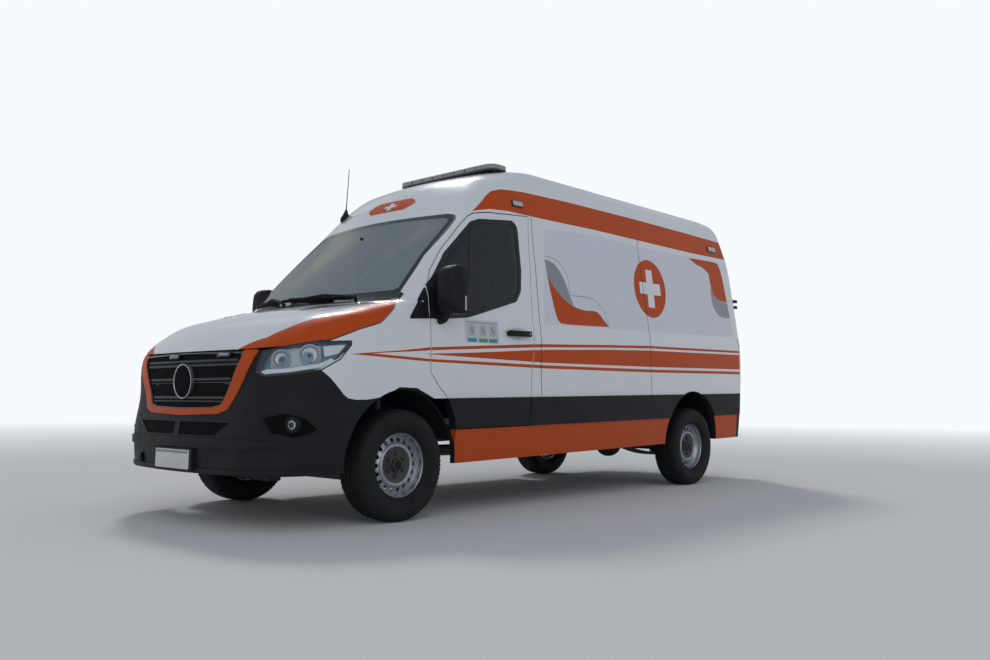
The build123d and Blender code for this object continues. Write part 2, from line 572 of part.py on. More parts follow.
def tyre_and_rim(name, side, axle_y):
    """A tyre and a rim with its hub and brake disc, on one side of the vehicle."""
    half = TYRE_WIDTH / 2
    low = RIM_SEAT_RADIUS
    tread_half = half - 14
    profile = Polyline(
        (low, -RIM_WIDTH / 2), (RIM_FLANGE_RADIUS + 12, -half + 8), (TYRE_RADIUS - 56, -half),
        (TYRE_RADIUS - 24, -half + 4), (TYRE_RADIUS, -tread_half + 8), (TYRE_RADIUS, tread_half - 8),
        (TYRE_RADIUS - 24, half - 4), (TYRE_RADIUS - 56, half),
        (RIM_FLANGE_RADIUS + 12, half - 8), (low, RIM_WIDTH / 2), close=True,
    )
    tyre = revolve(Plane.XZ * make_face(profile), Axis.Z)
    barrel = Cylinder(low, RIM_WIDTH) - Cylinder(low - RIM_WALL, RIM_WIDTH)
    disc = Pos(0, 0, DISC_PLACE) * (Cylinder(low - RIM_WALL + 1, 10) - Cylinder(20, 10))
    hub = rod_z(HUB_RADIUS, 0, 0, HUB_INNER - TRACK_HALF, HUB_OUTER - TRACK_HALF)
    brake = rod_z(BRAKE_RADIUS, 0, 0, HUB_INNER - TRACK_HALF, HUB_INNER + 24 - TRACK_HALF)
    bore = rod_z(SPINDLE_RADIUS + BEARING_GAP, 0, 0, HUB_INNER - TRACK_HALF, SPINDLE_END + 4 - TRACK_HALF)
    holes = [Rot(0, 0, turn * 30) * Pos(150, 0, DISC_PLACE) * Cylinder(17, 30) for turn in range(12)]
    rim = (barrel + disc + hub + brake) - bore - holes
    place = Pos(side * TRACK_HALF, axle_y, AXLE_HEIGHT) * Rot(0, side * 90, 0)
    save(f"{name}_tyre", place * tyre)
    save(f"{name}_rim", place * rim)


for end, axle_y in (("front", FRONT_AXLE_Y), ("rear", REAR_AXLE_Y)):
    for hand, side in (("left", 1), ("right", -1)):
        tyre_and_rim(f"{end}_{hand}", side, axle_y)

leaf_outer = ThreePointArc((-700, 120), (0, 0), (700, 120))
leaf_inner = ThreePointArc((700, 150), (0, 30), (-700, 150))
leaf = make_face([leaf_outer, Line((700, 120), (700, 150)), leaf_inner, Line((-700, 150), (-700, 120))])
leaf_low = AXLE_HEIGHT - 60 - 32
leaf_spring = Pos(SPRING_X - 30, REAR_AXLE_Y, leaf_low) * extrude(Plane.YZ * leaf, amount=60)
save("leaf_springs", leaf_spring, right_hand(leaf_spring))
pipe_path = FilletPolyline(*EXHAUST, radius=90)
pipe = sweep(Plane(origin=EXHAUST[0], z_dir=(0, 1, 0)) * Circle(28), pipe_path)
muffler = fillet(block(-EXHAUST_X - 110, -EXHAUST_X + 110, 350, 900, 230, 390).edges().filter_by(Axis.Y), 60)
save("exhaust", pipe + muffler)
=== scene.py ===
import math
from collections import namedtuple

import bmesh
import bpy
from bpy.props import FloatProperty, FloatVectorProperty, IntProperty, PointerProperty
from mathutils import Matrix, Vector
from mathutils.bvhtree import BVHTree
from mathutils.geometry import barycentric_transform


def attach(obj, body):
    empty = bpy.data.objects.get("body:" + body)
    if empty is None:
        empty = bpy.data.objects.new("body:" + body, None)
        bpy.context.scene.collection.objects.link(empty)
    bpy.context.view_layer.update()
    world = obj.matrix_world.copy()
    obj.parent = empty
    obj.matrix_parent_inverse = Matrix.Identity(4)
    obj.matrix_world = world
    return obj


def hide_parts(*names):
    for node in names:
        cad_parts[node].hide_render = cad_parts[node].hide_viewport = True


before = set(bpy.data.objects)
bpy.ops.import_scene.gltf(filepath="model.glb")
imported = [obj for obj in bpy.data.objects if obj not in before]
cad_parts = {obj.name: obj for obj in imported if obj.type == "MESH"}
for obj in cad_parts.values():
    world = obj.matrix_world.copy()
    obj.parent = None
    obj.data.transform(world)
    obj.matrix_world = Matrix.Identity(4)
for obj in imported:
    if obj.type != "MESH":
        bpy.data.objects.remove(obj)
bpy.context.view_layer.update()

bl_info = {
    "name": "Van ambulance",
    "version": (1, 0, 0),
    "blender": (4, 5, 0),
    "location": "View3D > Sidebar > Ambulance",
    "description": "Finishes a high-roof van ambulance on its built frame",
    "category": "Object",
}

MM = 0.001

# The bodywork is drawn level and leaned about the front axle, as the frame is
RAKE = math.radians(1.036)
PIVOT = Vector((0, -1.940, 0.356))
STANCE = Matrix.Translation(PIVOT) @ Matrix.Rotation(RAKE, 4, "X") @ Matrix.Translation(-PIVOT)
LEVEL = STANCE.inverted()

Outline = namedtuple("Outline", "height nose half_width nose_radius corner tail tail_corner tilt")
SKIN = [
    Outline(338, -2960, 955, 3600, 460, 2782, 190, 0),
    Outline(565, -2962, 974, 3600, 460, 2790, 190, 0),
    Outline(775, -2918, 982, 4000, 460, 2800, 190, 0),
    Outline(1085, -2878, 984, 4200, 470, 2815, 190, 0),
    Outline(1180, -2780, 980, 3500, 450, 2818, 190, 0),
    Outline(1270, -2645, 974, 2700, 410, 2820, 190, 0),
    Outline(1340, -2430, 963, 2300, 330, 2820, 190, 0),
    Outline(1420, -2085, 956, 1900, 200, 2816, 190, 0),
    Outline(1750, -1730, 925, 2300, 150, 2781, 190, 0),
    Outline(2130, -1305, 884, 2800, 196, 2725, 190, 0),
    Outline(2300, -1148, 847, 2600, 289, 2698, 195, 0.3),
    Outline(2426, -990, 814, 2300, 330, 2675, 200, 0.45),
    Outline(2506, -790, 763, 2100, 320, 2645, 220, 0.45),
    Outline(2566, -558, 650, 1900, 260, 2600, 240, 0.45),
    Outline(2604, -299, 500, 1700, 240, 2480, 240, 0.45),
]
TILT_PIVOT_Y = -400
# The headlights are drawn square to the front corner, along it and up
LAMP_TURN = math.radians(50)
LAMP_ORIGIN = Vector((0.850, -2.620, 0.900))
LAMP_ALONG = Vector((math.cos(LAMP_TURN), math.sin(LAMP_TURN), 0))
LAMP_AHEAD = Vector((math.sin(LAMP_TURN), -math.cos(LAMP_TURN), 0))
CREASE_ROW = 7
ROW_STEPS = 6


def arc_points(centre, radius, start, end, steps):
    """Points along an arc, the last one left out."""
    turns = [start + (end - start) * step / steps for step in range(steps)]
    return [(centre[0] + radius * math.cos(turn), centre[1] + radius * math.sin(turn)) for turn in turns]


def outline_ring(outline):
    """One plan outline as a closed ring of points, in metres."""
    half_width = outline.half_width
    corner = outline.corner
    bow_centre = outline.nose + outline.nose_radius
    across = half_width - corner
    corner_y = bow_centre - math.sqrt((outline.nose_radius - corner) ** 2 - across ** 2)
    join = math.atan2(corner_y - bow_centre, across)
    tail_y = outline.tail - outline.tail_corner
    half = arc_points((0, bow_centre), outline.nose_radius, -math.pi / 2, join, 20)
    half += arc_points((across, corner_y), corner, join, 0, 16)
    half += [(half_width, corner_y + (tail_y - corner_y) * step / 40) for step in range(40)]
    half += arc_points((half_width - outline.tail_corner, tail_y), outline.tail_corner, 0, math.pi / 2, 10)
    half += [((half_width - outline.tail_corner) * (1 - step / 6), outline.tail) for step in range(7)]
    ring = half + [(-x, y) for x, y in reversed(half[1:-1])]
    lean = math.radians(outline.tilt)
    points = []
    for x, y in ring:
        back = y - TILT_PIVOT_Y
        place = Vector((x, TILT_PIVOT_Y + back * math.cos(lean), outline.height - back * math.sin(lean)))
        points.append(place * MM)
    return points


def between(index, share, smooth):
    """The outline part of the way up from one row to the next, on a straight or a smooth line."""
    low = SKIN[index]
    high = SKIN[index + 1]
    if not smooth:
        return Outline(*[a + (b - a) * share for a, b in zip(low, high)])
    gaps = [math.hypot(b.height - a.height, b.nose - a.nose) for a, b in zip(SKIN, SKIN[1:])]
    gap = gaps[index]

    def slope(row, field, side):
        """The slope of one size at a row, one-sided at the ends and at the crease."""
        before = (SKIN[row][field] - SKIN[row - 1][field]) / gaps[row - 1] if row > 0 else None
        after = (SKIN[row + 1][field] - SKIN[row][field]) / gaps[row] if row < len(gaps) else None
        if before is None or (row == CREASE_ROW and side > 0):
            return after
        if after is None or (row == CREASE_ROW and side < 0):
            return before
        weight = gaps[row - 1] + gaps[row]
        return (before * gaps[row] + after * gaps[row - 1]) / weight

    square, cube = share ** 2, share ** 3
    values = []
    for field in range(len(low)):
        start = slope(index, field, 1) * gap
        end = slope(index + 1, field, -1) * gap
        value = (2 * cube - 3 * square + 1) * low[field] + (cube - 2 * square + share) * start
        values.append(value + (3 * square - 2 * cube) * high[field] + (cube - square) * end)
    return Outline(*values)


class BodySkin:
    """The built skin and its smooth twin, point for point, to place and shade the bodywork."""

    def __init__(self):
        built = []
        smooth = []
        for index in range(len(SKIN) - 1):
            for step in range(ROW_STEPS):
                built.append(outline_ring(between(index, step / ROW_STEPS, False)))
                smooth.append(outline_ring(between(index, step / ROW_STEPS, True)))
        built.append(outline_ring(SKIN[-1]))
        smooth.append(outline_ring(SKIN[-1]))
        top = built[-1]
        middle = sum(top, Vector()) / len(top)
        for share, crown in ((0.8, 0.003), (0.5, 0.006), (0.2, 0.008), (0.02, 0.008)):
            ring = [middle + (point - middle) * share for point in top]
            built.append(ring)
            smooth.append([point + Vector((0, 0, crown)) for point in ring])
        width = len(top)
        self.built = [point for ring in built for point in ring]
        self.smooth = [point for ring in smooth for point in ring]
        self.faces = []
        for row in range(len(built) - 1):
            for column in range(width):
                after = (column + 1) % width
                a, b = row * width + column, row * width + after
                c, d = (row + 1) * width + after, (row + 1) * width + column
                self.faces += [(a, b, c), (a, c, d)]
        self.normals = [Vector() for point in self.smooth]
        for face in self.faces:
            a, b, c = [self.smooth[index] for index in face]
            normal = (b - a).cross(c - a)
            for index in face:
                self.normals[index] += normal
        self.normals = [normal.normalized() for normal in self.normals]
        self.built_tree = BVHTree.FromPolygons(self.built, self.faces)
        self.smooth_tree = BVHTree.FromPolygons(self.smooth, self.faces)

    def carry(self, point):
        """How far a built point moves to lie on the smooth skin, its normal there, and its height above it."""
        place, up, index, gap = self.built_tree.find_nearest(point)
        a, b, c = self.faces[index]
        corners = (self.built[a], self.built[b], self.built[c])
        moved = barycentric_transform(place, *corners, self.smooth[a], self.smooth[b], self.smooth[c])
        normal = barycentric_transform(place, *corners, self.normals[a], self.normals[b], self.normals[c])
        return moved - place, normal.normalized(), (point - place).dot(up)

    def hit(self, view, a, b):
        """The point and normal of the smooth skin seen along a view: side, other, front, tail, top or lamp."""
        lamp = LAMP_ORIGIN + LAMP_ALONG * a + Vector((0, 0, b)) + LAMP_AHEAD
        start, ray = {
            "side": ((3, a, b), (-1, 0, 0)), "other": ((-3, a, b), (1, 0, 0)),
            "front": ((a, -5, b), (0, 1, 0)),
            "tail": ((a, 5, b), (0, -1, 0)), "top": ((a, b, 5), (0, 0, -1)), "lamp": (lamp, -LAMP_AHEAD),
        }[view]
        place, up, index, gap = self.smooth_tree.ray_cast(Vector(start), Vector(ray))
        if place is None:
            place, up, index, gap = self.smooth_tree.find_nearest(Vector(start) + Vector(ray) * 2.1)
        x, y, z = [self.smooth[corner] for corner in self.faces[index]]
        p, q, r = [self.normals[corner] for corner in self.faces[index]]
        return place, barycentric_transform(place, x, y, z, p, q, r).normalized()


skin = BodySkin()


# Node trees and finishes
def feed(tree, socket, value):
    """A socket linked to another one, or set to a value."""
    if isinstance(value, bpy.types.NodeSocket):
        tree.links.new(value, socket)
    else:
        socket.default_value = value


def mix_colours(tree, factor, low, high):
    """A colour between two, by a factor socket or value."""
    node = tree.nodes.new("ShaderNodeMix")
    node.data_type = "RGBA"
    for index, value in ((0, factor), (6, low), (7, high)):
        feed(tree, node.inputs[index], value)
    return node.outputs[2]


def noise(tree, scale, detail, place=None):
    """Noise on the piece's own coordinates, or on the place given."""
    node = tree.nodes.new("ShaderNodeTexNoise")
    node.inputs["Scale"].default_value = scale
    node.inputs["Detail"].default_value = detail
    tree.links.new(place or tree.nodes.new("ShaderNodeTexCoord").outputs["Object"], node.inputs["Vector"])
    return node.outputs["Fac"]


def spread(tree, socket, low, high, new_low, new_high):
    """A factor stretched from one range to another."""
    node = tree.nodes.new("ShaderNodeMapRange")
    ends = {"Value": socket, "From Min": low, "From Max": high, "To Min": new_low, "To Max": new_high}
    for name, value in ends.items():
        feed(tree, node.inputs[name], value)
    return node.outputs["Result"]


def times(tree, a, b):
    """The product of two factors."""
    node = tree.nodes.new("ShaderNodeMath")
    node.operation = "MULTIPLY"
    for socket, value in zip(node.inputs, (a, b)):
        feed(tree, socket, value)
    return node.outputs[0]


def height_of(tree, place):
    """The height in a set of coordinates."""
    split = tree.nodes.new("ShaderNodeSeparateXYZ")
    tree.links.new(place, split.inputs[0])
    return split.outputs["Z"]


def shade(colour, by):
    """A colour made lighter or darker."""
    return tuple(min(1.0, channel * by) for channel in colour[:3]) + (1.0,)


FINISHES = {}
ROAD_DUST = (0.23, 0.19, 0.15, 1.0)


def finish(name, colour, roughness, metal=0.0, coat=0.0, mottle=(5.0, 0.05), grain=(700.0, 0.1), dust=0.0,
           transmission=0.0, ior=1.5, sheen=0.0, scuff=0.08, specular=0.5, alpha=1.0):
    """Make a finish with colour variation, surface grain, uneven gloss and dust on what is low."""
    material = bpy.data.materials.new(name)
    material.use_nodes = True
    tree = material.node_tree
    shader = tree.nodes["Principled BSDF"]
    scale, swing = mottle
    tint = mix_colours(tree, noise(tree, scale, 5.0), shade(colour, 1 - swing), shade(colour, 1 + swing))
    gloss = spread(tree, noise(tree, scale * 4, 6.0), 0.3, 0.7, max(roughness - scuff, 0.0),
                   roughness + scuff)
    if dust:
        height = height_of(tree, tree.nodes.new("ShaderNodeTexCoord").outputs["Object"])
        patchy = spread(tree, noise(tree, 9.0, 8.0), 0.35, 0.7, 0.15, 1.0)
        tint = mix_colours(tree, times(tree, spread(tree, height, 0.15, 0.95, dust, 0.0), patchy), tint,
                           ROAD_DUST)
    if grain[1]:
        bump = tree.nodes.new("ShaderNodeBump")
        bump.inputs["Strength"].default_value = grain[1]
        bump.inputs["Distance"].default_value = MM
        tree.links.new(noise(tree, grain[0], 3.0), bump.inputs["Height"])
        tree.links.new(bump.outputs["Normal"], shader.inputs["Normal"])
    sockets = {
        "Base Color": tint, "Roughness": gloss, "Metallic": metal, "IOR": ior, "Specular IOR Level": specular,
        "Coat Weight": coat, "Coat Roughness": 0.04, "Sheen Weight": sheen, "Sheen Roughness": 0.4,
        "Transmission Weight": transmission, "Alpha": alpha,
    }
    for socket, value in sockets.items():
        feed(tree, shader.inputs[socket], value)
    FINISHES[name] = material


class PaintSettings(bpy.types.PropertyGroup):
    """Colours of the bodywork and its livery"""

    white: FloatVectorProperty(
        name="Body white", description="Paint of the body", subtype="COLOR", default=(0.74, 0.76, 0.79),
    )
    film: FloatVectorProperty(
        name="Panel film", description="Film on the long side panel", subtype="COLOR",
        default=(0.66, 0.68, 0.76),
    )
    orange: FloatVectorProperty(
        name="Livery orange", description="Stripes, sills and roof band", subtype="COLOR",
        default=(0.52, 0.066, 0.002),
    )
    grey: FloatVectorProperty(
        name="Livery grey", description="Grey of the curved shapes", subtype="COLOR",
        default=(0.25, 0.26, 0.30),
    )
    charcoal: FloatVectorProperty(
        name="Trim charcoal", description="Bumpers and mouldings", subtype="COLOR",
        default=(0.0100, 0.0115, 0.0140),
    )


class StageSettings(bpy.types.PropertyGroup):
    """Camera, floor and lamps"""

    lens: FloatProperty(name="Lens", description="Focal length of the camera", default=32.657, unit="CAMERA")
    floor: FloatVectorProperty(name="Floor", description="Colour of the floor", subtype="COLOR",
                               default=(0.7, 0.7, 0.69))
    daylight: FloatProperty(name="Daylight", description="Strength of the soft light all round",
                            default=0.60, min=0.0)
    key: FloatProperty(name="Key lamp", description="Strength of the main lamp", default=0.85, min=0.0)


class WheelSettings(bpy.types.PropertyGroup):
    """Sizes of the road wheels"""

    holes: IntProperty(name="Holes", description="Round holes in each steel disc", default=18, min=6, max=30)
    hole_radius: FloatProperty(name="Hole radius", description="Radius of each hole", default=0.0148,
                               unit="LENGTH")
    hole_circle: FloatProperty(
        name="Hole circle", description="Radius of the ring of holes", default=0.1605, unit="LENGTH",
    )
    bolts: IntProperty(name="Bolts", description="Wheel bolts", default=6, min=3, max=10)


class FrontSettings(bpy.types.PropertyGroup):
    """Sizes of the grille"""

    slats: IntProperty(name="Slats", description="Bars across the grille", default=3, min=2, max=12)
    slat_height: FloatProperty(name="Slat height", description="Height of a grille bar", default=0.046,
                               unit="LENGTH")


GLASS = {"mottle": (1.0, 0.03), "grain": (60, 0.0), "scuff": 0.0}
LAMP_INSIDE = {"mottle": (9.0, 0.03), "grain": (150, 0.0), "scuff": 0.03}
LENS = {"coat": 0.6, "grain": (180, 0.06), "transmission": 0.25, "scuff": 0.04}
PRINT = {"grain": (300, 0.03)}


def make_finishes(paint):
    """Make every finish of the vehicle, named for what it is."""
    finish("white_paint", paint.white, 0.22, coat=0.8, mottle=(2.0, 0.02), grain=(240, 0.015), dust=0.08,
           scuff=0.05)
    finish("panel_film", paint.film, 0.34, coat=0.25, mottle=(2.0, 0.025), grain=(300, 0.02), dust=0.06,
           scuff=0.05)
    finish("orange_paint", paint.orange, 0.36, coat=0.04, mottle=(3.0, 0.05), grain=(260, 0.01), dust=0.06,
           scuff=0.05, specular=0.2)
    finish("grey_film", paint.grey, 0.3, coat=0.4, mottle=(3.0, 0.04), grain=(260, 0.02), scuff=0.05)
    finish("dark_plastic", paint.charcoal, 0.5, mottle=(7.0, 0.2), grain=(900, 0.2), dust=0.02, specular=0.2)
    finish("gloss_black", (0.008, 0.008, 0.009), 0.12, coat=0.5, grain=(300, 0.01), scuff=0.05)
    finish("seal_rubber", (0.012, 0.012, 0.013), 0.6, grain=(1200, 0.2))
    finish("seam_shadow", (0.03, 0.03, 0.033), 0.7, grain=(500, 0.1))
    finish("lining", (0.14, 0.145, 0.15), 0.7, grain=(800, 0.35), mottle=(8, 0.1))
    # The windscreen's grey-green base and high alpha are partly glass tint, partly painted reflection of a
    # pale sky
    finish("screen_glass_and_painted_reflection", (0.085, 0.120, 0.100), 0.02, alpha=0.78, ior=2.8, specular=0.9, **GLASS)
    finish("window_glass", (0.012, 0.020, 0.021), 0.02, alpha=0.62, ior=1.55, **GLASS)
    finish("lamp_glass", (0.34, 0.46, 0.58), 0.02, alpha=0.08, ior=1.6, mottle=(1.0, 0.01), grain=(60, 0.0),
           scuff=0.0)
    finish("frit_black", (0.006, 0.006, 0.007), 0.08, coat=0.6, grain=(60, 0.0), scuff=0.03)
    finish("reflector", (0.82, 0.83, 0.86), 0.12, metal=0.75, grain=(90, 0.0), scuff=0.03)
    # The back of the headlights: dark grey whose blue tint is partly a painted reflection of the sky
    finish("lamp_back_and_painted_reflection", (0.16, 0.24, 0.33), 0.25, metal=0.3, **LAMP_INSIDE)
    finish("light_pipe", (0.74, 0.80, 0.86), 0.2, coat=0.3, **LAMP_INSIDE)
    finish("lamp_silver", (0.40, 0.44, 0.48), 0.3, metal=0.25, **LAMP_INSIDE)
    finish("red_lens", (0.52, 0.012, 0.018), 0.08, **LENS)
    finish("amber_lens", (0.75, 0.22, 0.01), 0.1, **LENS)
    finish("clear_lens", (0.72, 0.74, 0.77), 0.12, coat=0.5, grain=(220, 0.1), transmission=0.35, scuff=0.05)
    finish("bar_core", (0.30, 0.275, 0.25), 0.15, coat=0.5, mottle=(14, 0.25), grain=(120, 0.3), scuff=0.1)
    finish("tyre_rubber", (0.0095, 0.0095, 0.0105), 0.68, mottle=(14, 0.25), grain=(420, 0.3), dust=0.035,
           scuff=0.1, specular=0.25)
    finish("silver_steel", (0.42, 0.44, 0.48), 0.3, metal=0.75, coat=0.2, mottle=(12, 0.08),
           grain=(500, 0.06), dust=0.25)
    finish("hub_black", (0.02, 0.022, 0.026), 0.42, mottle=(10, 0.2), grain=(700, 0.2), dust=0.25)
    finish("silver_trim", (0.45, 0.46, 0.48), 0.2, metal=0.9, mottle=(20, 0.05), grain=(300, 0.05),
           scuff=0.06)
    # A thin strip on the grille bars' ridges: partly chrome-like trim, partly painted highlight along their
    # tops
    finish("ridge_trim_and_painted_highlight", (0.16, 0.165, 0.175), 0.3, metal=0.5, mottle=(20, 0.05), grain=(300, 0.05),
           scuff=0.06)
    finish("disc_steel", (0.26, 0.25, 0.24), 0.35, metal=1.0, mottle=(20, 0.15), grain=(300, 0.15))
    finish("chassis_steel", (0.028, 0.028, 0.03), 0.55, mottle=(10, 0.3), grain=(300, 0.3), dust=0.45)
    finish("cast_metal", (0.15, 0.14, 0.135), 0.55, metal=0.7, mottle=(20, 0.25), grain=(220, 0.5), dust=0.35)
    finish("exhaust_steel", (0.22, 0.19, 0.165), 0.45, metal=0.8, mottle=(12, 0.3), grain=(250, 0.2),
           dust=0.3)
    finish("seat_fabric", (0.035, 0.04, 0.05), 0.85, mottle=(60, 0.2), grain=(1500, 0.6), sheen=0.4)
    finish("floor_cover", (0.09, 0.09, 0.1), 0.7, mottle=(20, 0.15), grain=(300, 0.4))
    finish("soft_trim", (0.012, 0.0125, 0.014), 0.65, specular=0.25, mottle=(15, 0.15), grain=(800, 0.4))
    finish("grey_trim", (0.12, 0.125, 0.13), 0.5, mottle=(12, 0.1), grain=(700, 0.3))
    finish("film_grey", (0.44, 0.46, 0.48), 0.45, **PRINT)
    # Pale grey: the print of the door label, and also painted shade in the recess of a door handle's cup
    finish("pale_label_and_painted_shade", (0.55, 0.58, 0.6), 0.4, mottle=(30, 0.06), **PRINT)
    finish("label_grey", (0.25, 0.27, 0.29), 0.45, **PRINT)
    finish("label_blue", (0.03, 0.25, 0.36), 0.4, **PRINT)
    finish("label_green", (0.08, 0.30, 0.12), 0.4, **PRINT)
    # Near black: dark bits such as slats, the aerial rod and the blank badge, and also painted shade in
    # recesses, slots and behind the grille
    finish("black_and_painted_shade", (0.004, 0.004, 0.0045), 0.8, mottle=(10, 0.2), grain=(500, 0.2), specular=0.1)
    finish("plate_white", (0.62, 0.63, 0.64), 0.35, mottle=(20, 0.05), grain=(400, 0.05), dust=0.2)


# Mesh parts. Each is a bmesh with faces outward, in metres.
def rounded(points, radius, steps=4):
    """A closed outline with its corners rounded, as far as its sides allow."""
    points = [Vector(point) for point in points]
    result = []
    for index, corner in enumerate(points):
        before = points[index - 1] - corner
        after = points[(index + 1) % len(points)] - corner
        turn = before.angle(after)
        if turn > math.radians(176):
            result.append(tuple(corner))
            continue
        reach = min(radius / math.tan(turn / 2), 0.49 * before.length, 0.49 * after.length)
        start = corner + before.normalized() * reach
        end = corner + after.normalized() * reach
        for step in range(steps + 1):
            share = step / steps
            mixed = start * (1 - share) ** 2 + corner * 2 * share * (1 - share) + end * share ** 2
            result.append(tuple(mixed))
    return result


def rectangle(low_x, high_x, low_y, high_y, radius=0.0):
    """A rectangle's outline, with rounded corners."""
    points = [(low_x, low_y), (high_x, low_y), (high_x, high_y), (low_x, high_y)]
    return rounded(points, radius) if radius else points


def circle(x, y, radius, steps=24):
    """A circle's outline."""
    turns = [2 * math.pi * step / steps for step in range(steps)]
    return [(x + radius * math.cos(turn), y + radius * math.sin(turn)) for turn in turns]


def grow(points, by):
    """A closed outline moved outwards by a distance, or inwards where it is negative."""
    area = sum(a[0] * b[1] - b[0] * a[1] for a, b in zip(points, points[1:] + points[:1]))
    turn = 1 if area > 0 else -1
    result = []
    for index, point in enumerate(points):
        here = Vector(point)
        into = (here - Vector(points[index - 1])).normalized()
        out = (Vector(points[(index + 1) % len(points)]) - here).normalized()
        side = Vector((into.y + out.y, -into.x - out.x)) * turn
        if side.length < 1e-6:
            side = Vector((into.y, -into.x)) * turn
        side.normalize()
        lean = max(side.dot(Vector((into.y, -into.x)) * turn), 0.4)
        result.append(tuple(here + side * (by / lean)))
    return result


def sides_of(part, lower, upper):
    """Quads between two rings of vertices."""
    for index, low in enumerate(lower):
        after = (index + 1) % len(lower)
        part.faces.new((low, lower[after], upper[after], upper[index]))


def turn_outward(part):
    """Faces of a closed part turned outwards."""
    bmesh.ops.recalc_face_normals(part, faces=part.faces)
    return part


def bevelled(part, edges, width, segments=2):
    """A part with some edges rounded off."""
    bmesh.ops.bevel(part, geom=edges, offset=width, segments=segments, profile=0.6, affect="EDGES",
                    clamp_overlap=True)
    return part


def loft(rows, bevel=0.0):
    """A closed form through rows of points, its two ends capped, with their rims rounded off or sharp."""
    part = bmesh.new()
    made = [[part.verts.new(point) for point in row] for row in rows]
    for low, high in zip(made, made[1:]):
        sides_of(part, low, high)
    caps = [part.faces.new(made[0][::-1]), part.faces.new(made[-1])]
    turn_outward(part)
    if bevel:
        bevelled(part, [edge for cap in caps for edge in cap.edges], bevel)
    bmesh.ops.triangulate(part, faces=[face for face in part.faces if len(face.verts) > 4])
    return part


def prism(outline, low, high, bevel=0.0):
    """An outline run along Z from low to high."""
    return loft([[(x, y, z) for x, y in outline] for z in (low, high)], bevel)


def brick(low, high, bevel=0.003, segments=2):
    """A box between two corners with softened edges."""
    part = bmesh.new()
    size = Vector(high) - Vector(low)
    middle = (Vector(high) + Vector(low)) / 2
    bmesh.ops.create_cube(part, size=1, matrix=Matrix.Translation(middle) @ Matrix.Diagonal((*size, 1)))
    if bevel:
        bmesh.ops.bevel(part, geom=part.edges[:], offset=bevel, segments=segments, profile=0.6,
                        affect="EDGES")
    return part


def lathe(profile, steps=48):
    """A profile of (radius, height) turned about Z, closed where it meets the axis."""
    part = bmesh.new()
    rows = []
    for radius, height in profile:
        if radius < 1e-6:
            rows.append([part.verts.new((0, 0, height))])
        else:
            rows.append([part.verts.new((x, y, height)) for x, y in circle(0, 0, radius, steps)])
    for low, high in zip(rows, rows[1:]):
        if len(low) == len(high) > 1:
            sides_of(part, low, high)
            continue
        ring = max(low, high, key=len)
        for index, corner in enumerate(ring if len(ring) > 1 else ()):
            after = ring[(index + 1) % len(ring)]
            part.faces.new((low[0], after, corner) if ring is high else (corner, after, high[0]))
    return turn_outward(part)


def tube(points, radii, sides=10):
    """A round bar along a line of points, with one radius or one for each point."""
    points = [Vector(point) for point in points]
    if not isinstance(radii, list):
        radii = [radii] * len(points)
    rows = []
    across = (points[1] - points[0]).orthogonal()
    for index, point in enumerate(points):
        along = (points[min(index + 1, len(points) - 1)] - points[max(index - 1, 0)]).normalized()
        across = (across - along * across.dot(along)).normalized()
        up = along.cross(across)
        rows.append([point + across * x + up * y for x, y in circle(0, 0, radii[index], sides)])
    return loft(rows)


def spline(a, b, c, d, share):
    """A point part of the way from b to c on a smooth line through four points."""
    square = 2 * a - 5 * b + 4 * c - d
    return 0.5 * (2 * b + (c - a) * share + square * share ** 2 + (3 * b - a - 3 * c + d) * share ** 3)


def curve(points, steps):
    """A smooth line through points."""
    points = [Vector(point) for point in points]
    line = [points[0] * 2 - points[1], *points, points[-1] * 2 - points[-2]]
    smooth = []
    for index in range(len(points) - 1):
        smooth += [spline(*line[index:index + 4], step / steps) for step in range(steps)]
    return smooth + points[-1:]


def patch(view, outline, up, down, step=0.03, holes=()):
    """A plate that follows the skin, drawn in a view: it stands up from the skin and reaches down into it."""
    part = bmesh.new()
    edges = []
    for loop in (outline, *holes):
        dense = []
        for a, b in zip(loop, list(loop[1:]) + [loop[0]]):
            cuts = max(1, math.ceil((Vector(b) - Vector(a)).length / step))
            dense += [part.verts.new((*Vector(a).lerp(Vector(b), cut / cuts), 0)) for cut in range(cuts)]
        edges += [part.edges.new((a, b)) for a, b in zip(dense, dense[1:] + dense[:1])]
    bmesh.ops.triangle_fill(part, use_beauty=True, use_dissolve=False, edges=edges)
    for normal in (Vector((1, 0, 0)), Vector((0, 1, 0))):
        places = [vert.co.dot(normal) for vert in part.verts]
        low, high = min(places), max(places)
        count = int((high - low) / step)
        for cut in range(1, count + 1):
            geometry = part.verts[:] + part.edges[:] + part.faces[:]
            place = normal * (low + (high - low) * cut / (count + 1))
            bmesh.ops.bisect_plane(part, geom=geometry, dist=1e-5, plane_co=place, plane_no=normal)
    lower = {}
    for vert in part.verts[:]:
        place, normal = skin.hit(view, vert.co.x, vert.co.y)
        vert.co = place + normal * up
        lower[vert] = part.verts.new(place - normal * down)
    rim = [edge for edge in part.edges if len(edge.link_faces) == 1]
    for face in part.faces[:]:
        part.faces.new([lower[vert] for vert in reversed(face.verts)])
    for edge in rim:
        a, b = edge.verts
        part.faces.new((b, a, lower[a], lower[b]))
    return turn_outward(part)


def raised(view, outline, up, down, bevel, step=0.03, holes=()):
    """A plate on the skin with softened upper edges."""
    part = patch(view, outline, up, down, step, holes)
    top = []
    for edge in part.edges:
        corner = edge.verts[0].co
        if len(edge.link_faces) == 2 and edge.calc_face_angle() > math.radians(50):
            nearest = skin.smooth_tree.find_nearest(corner)[0]
            if (corner - nearest).length < abs(up) + 1e-4 and skin.carry(corner)[2] > up - 0.002:
                top.append(edge)
    return bevelled(part, top, bevel) if top else part


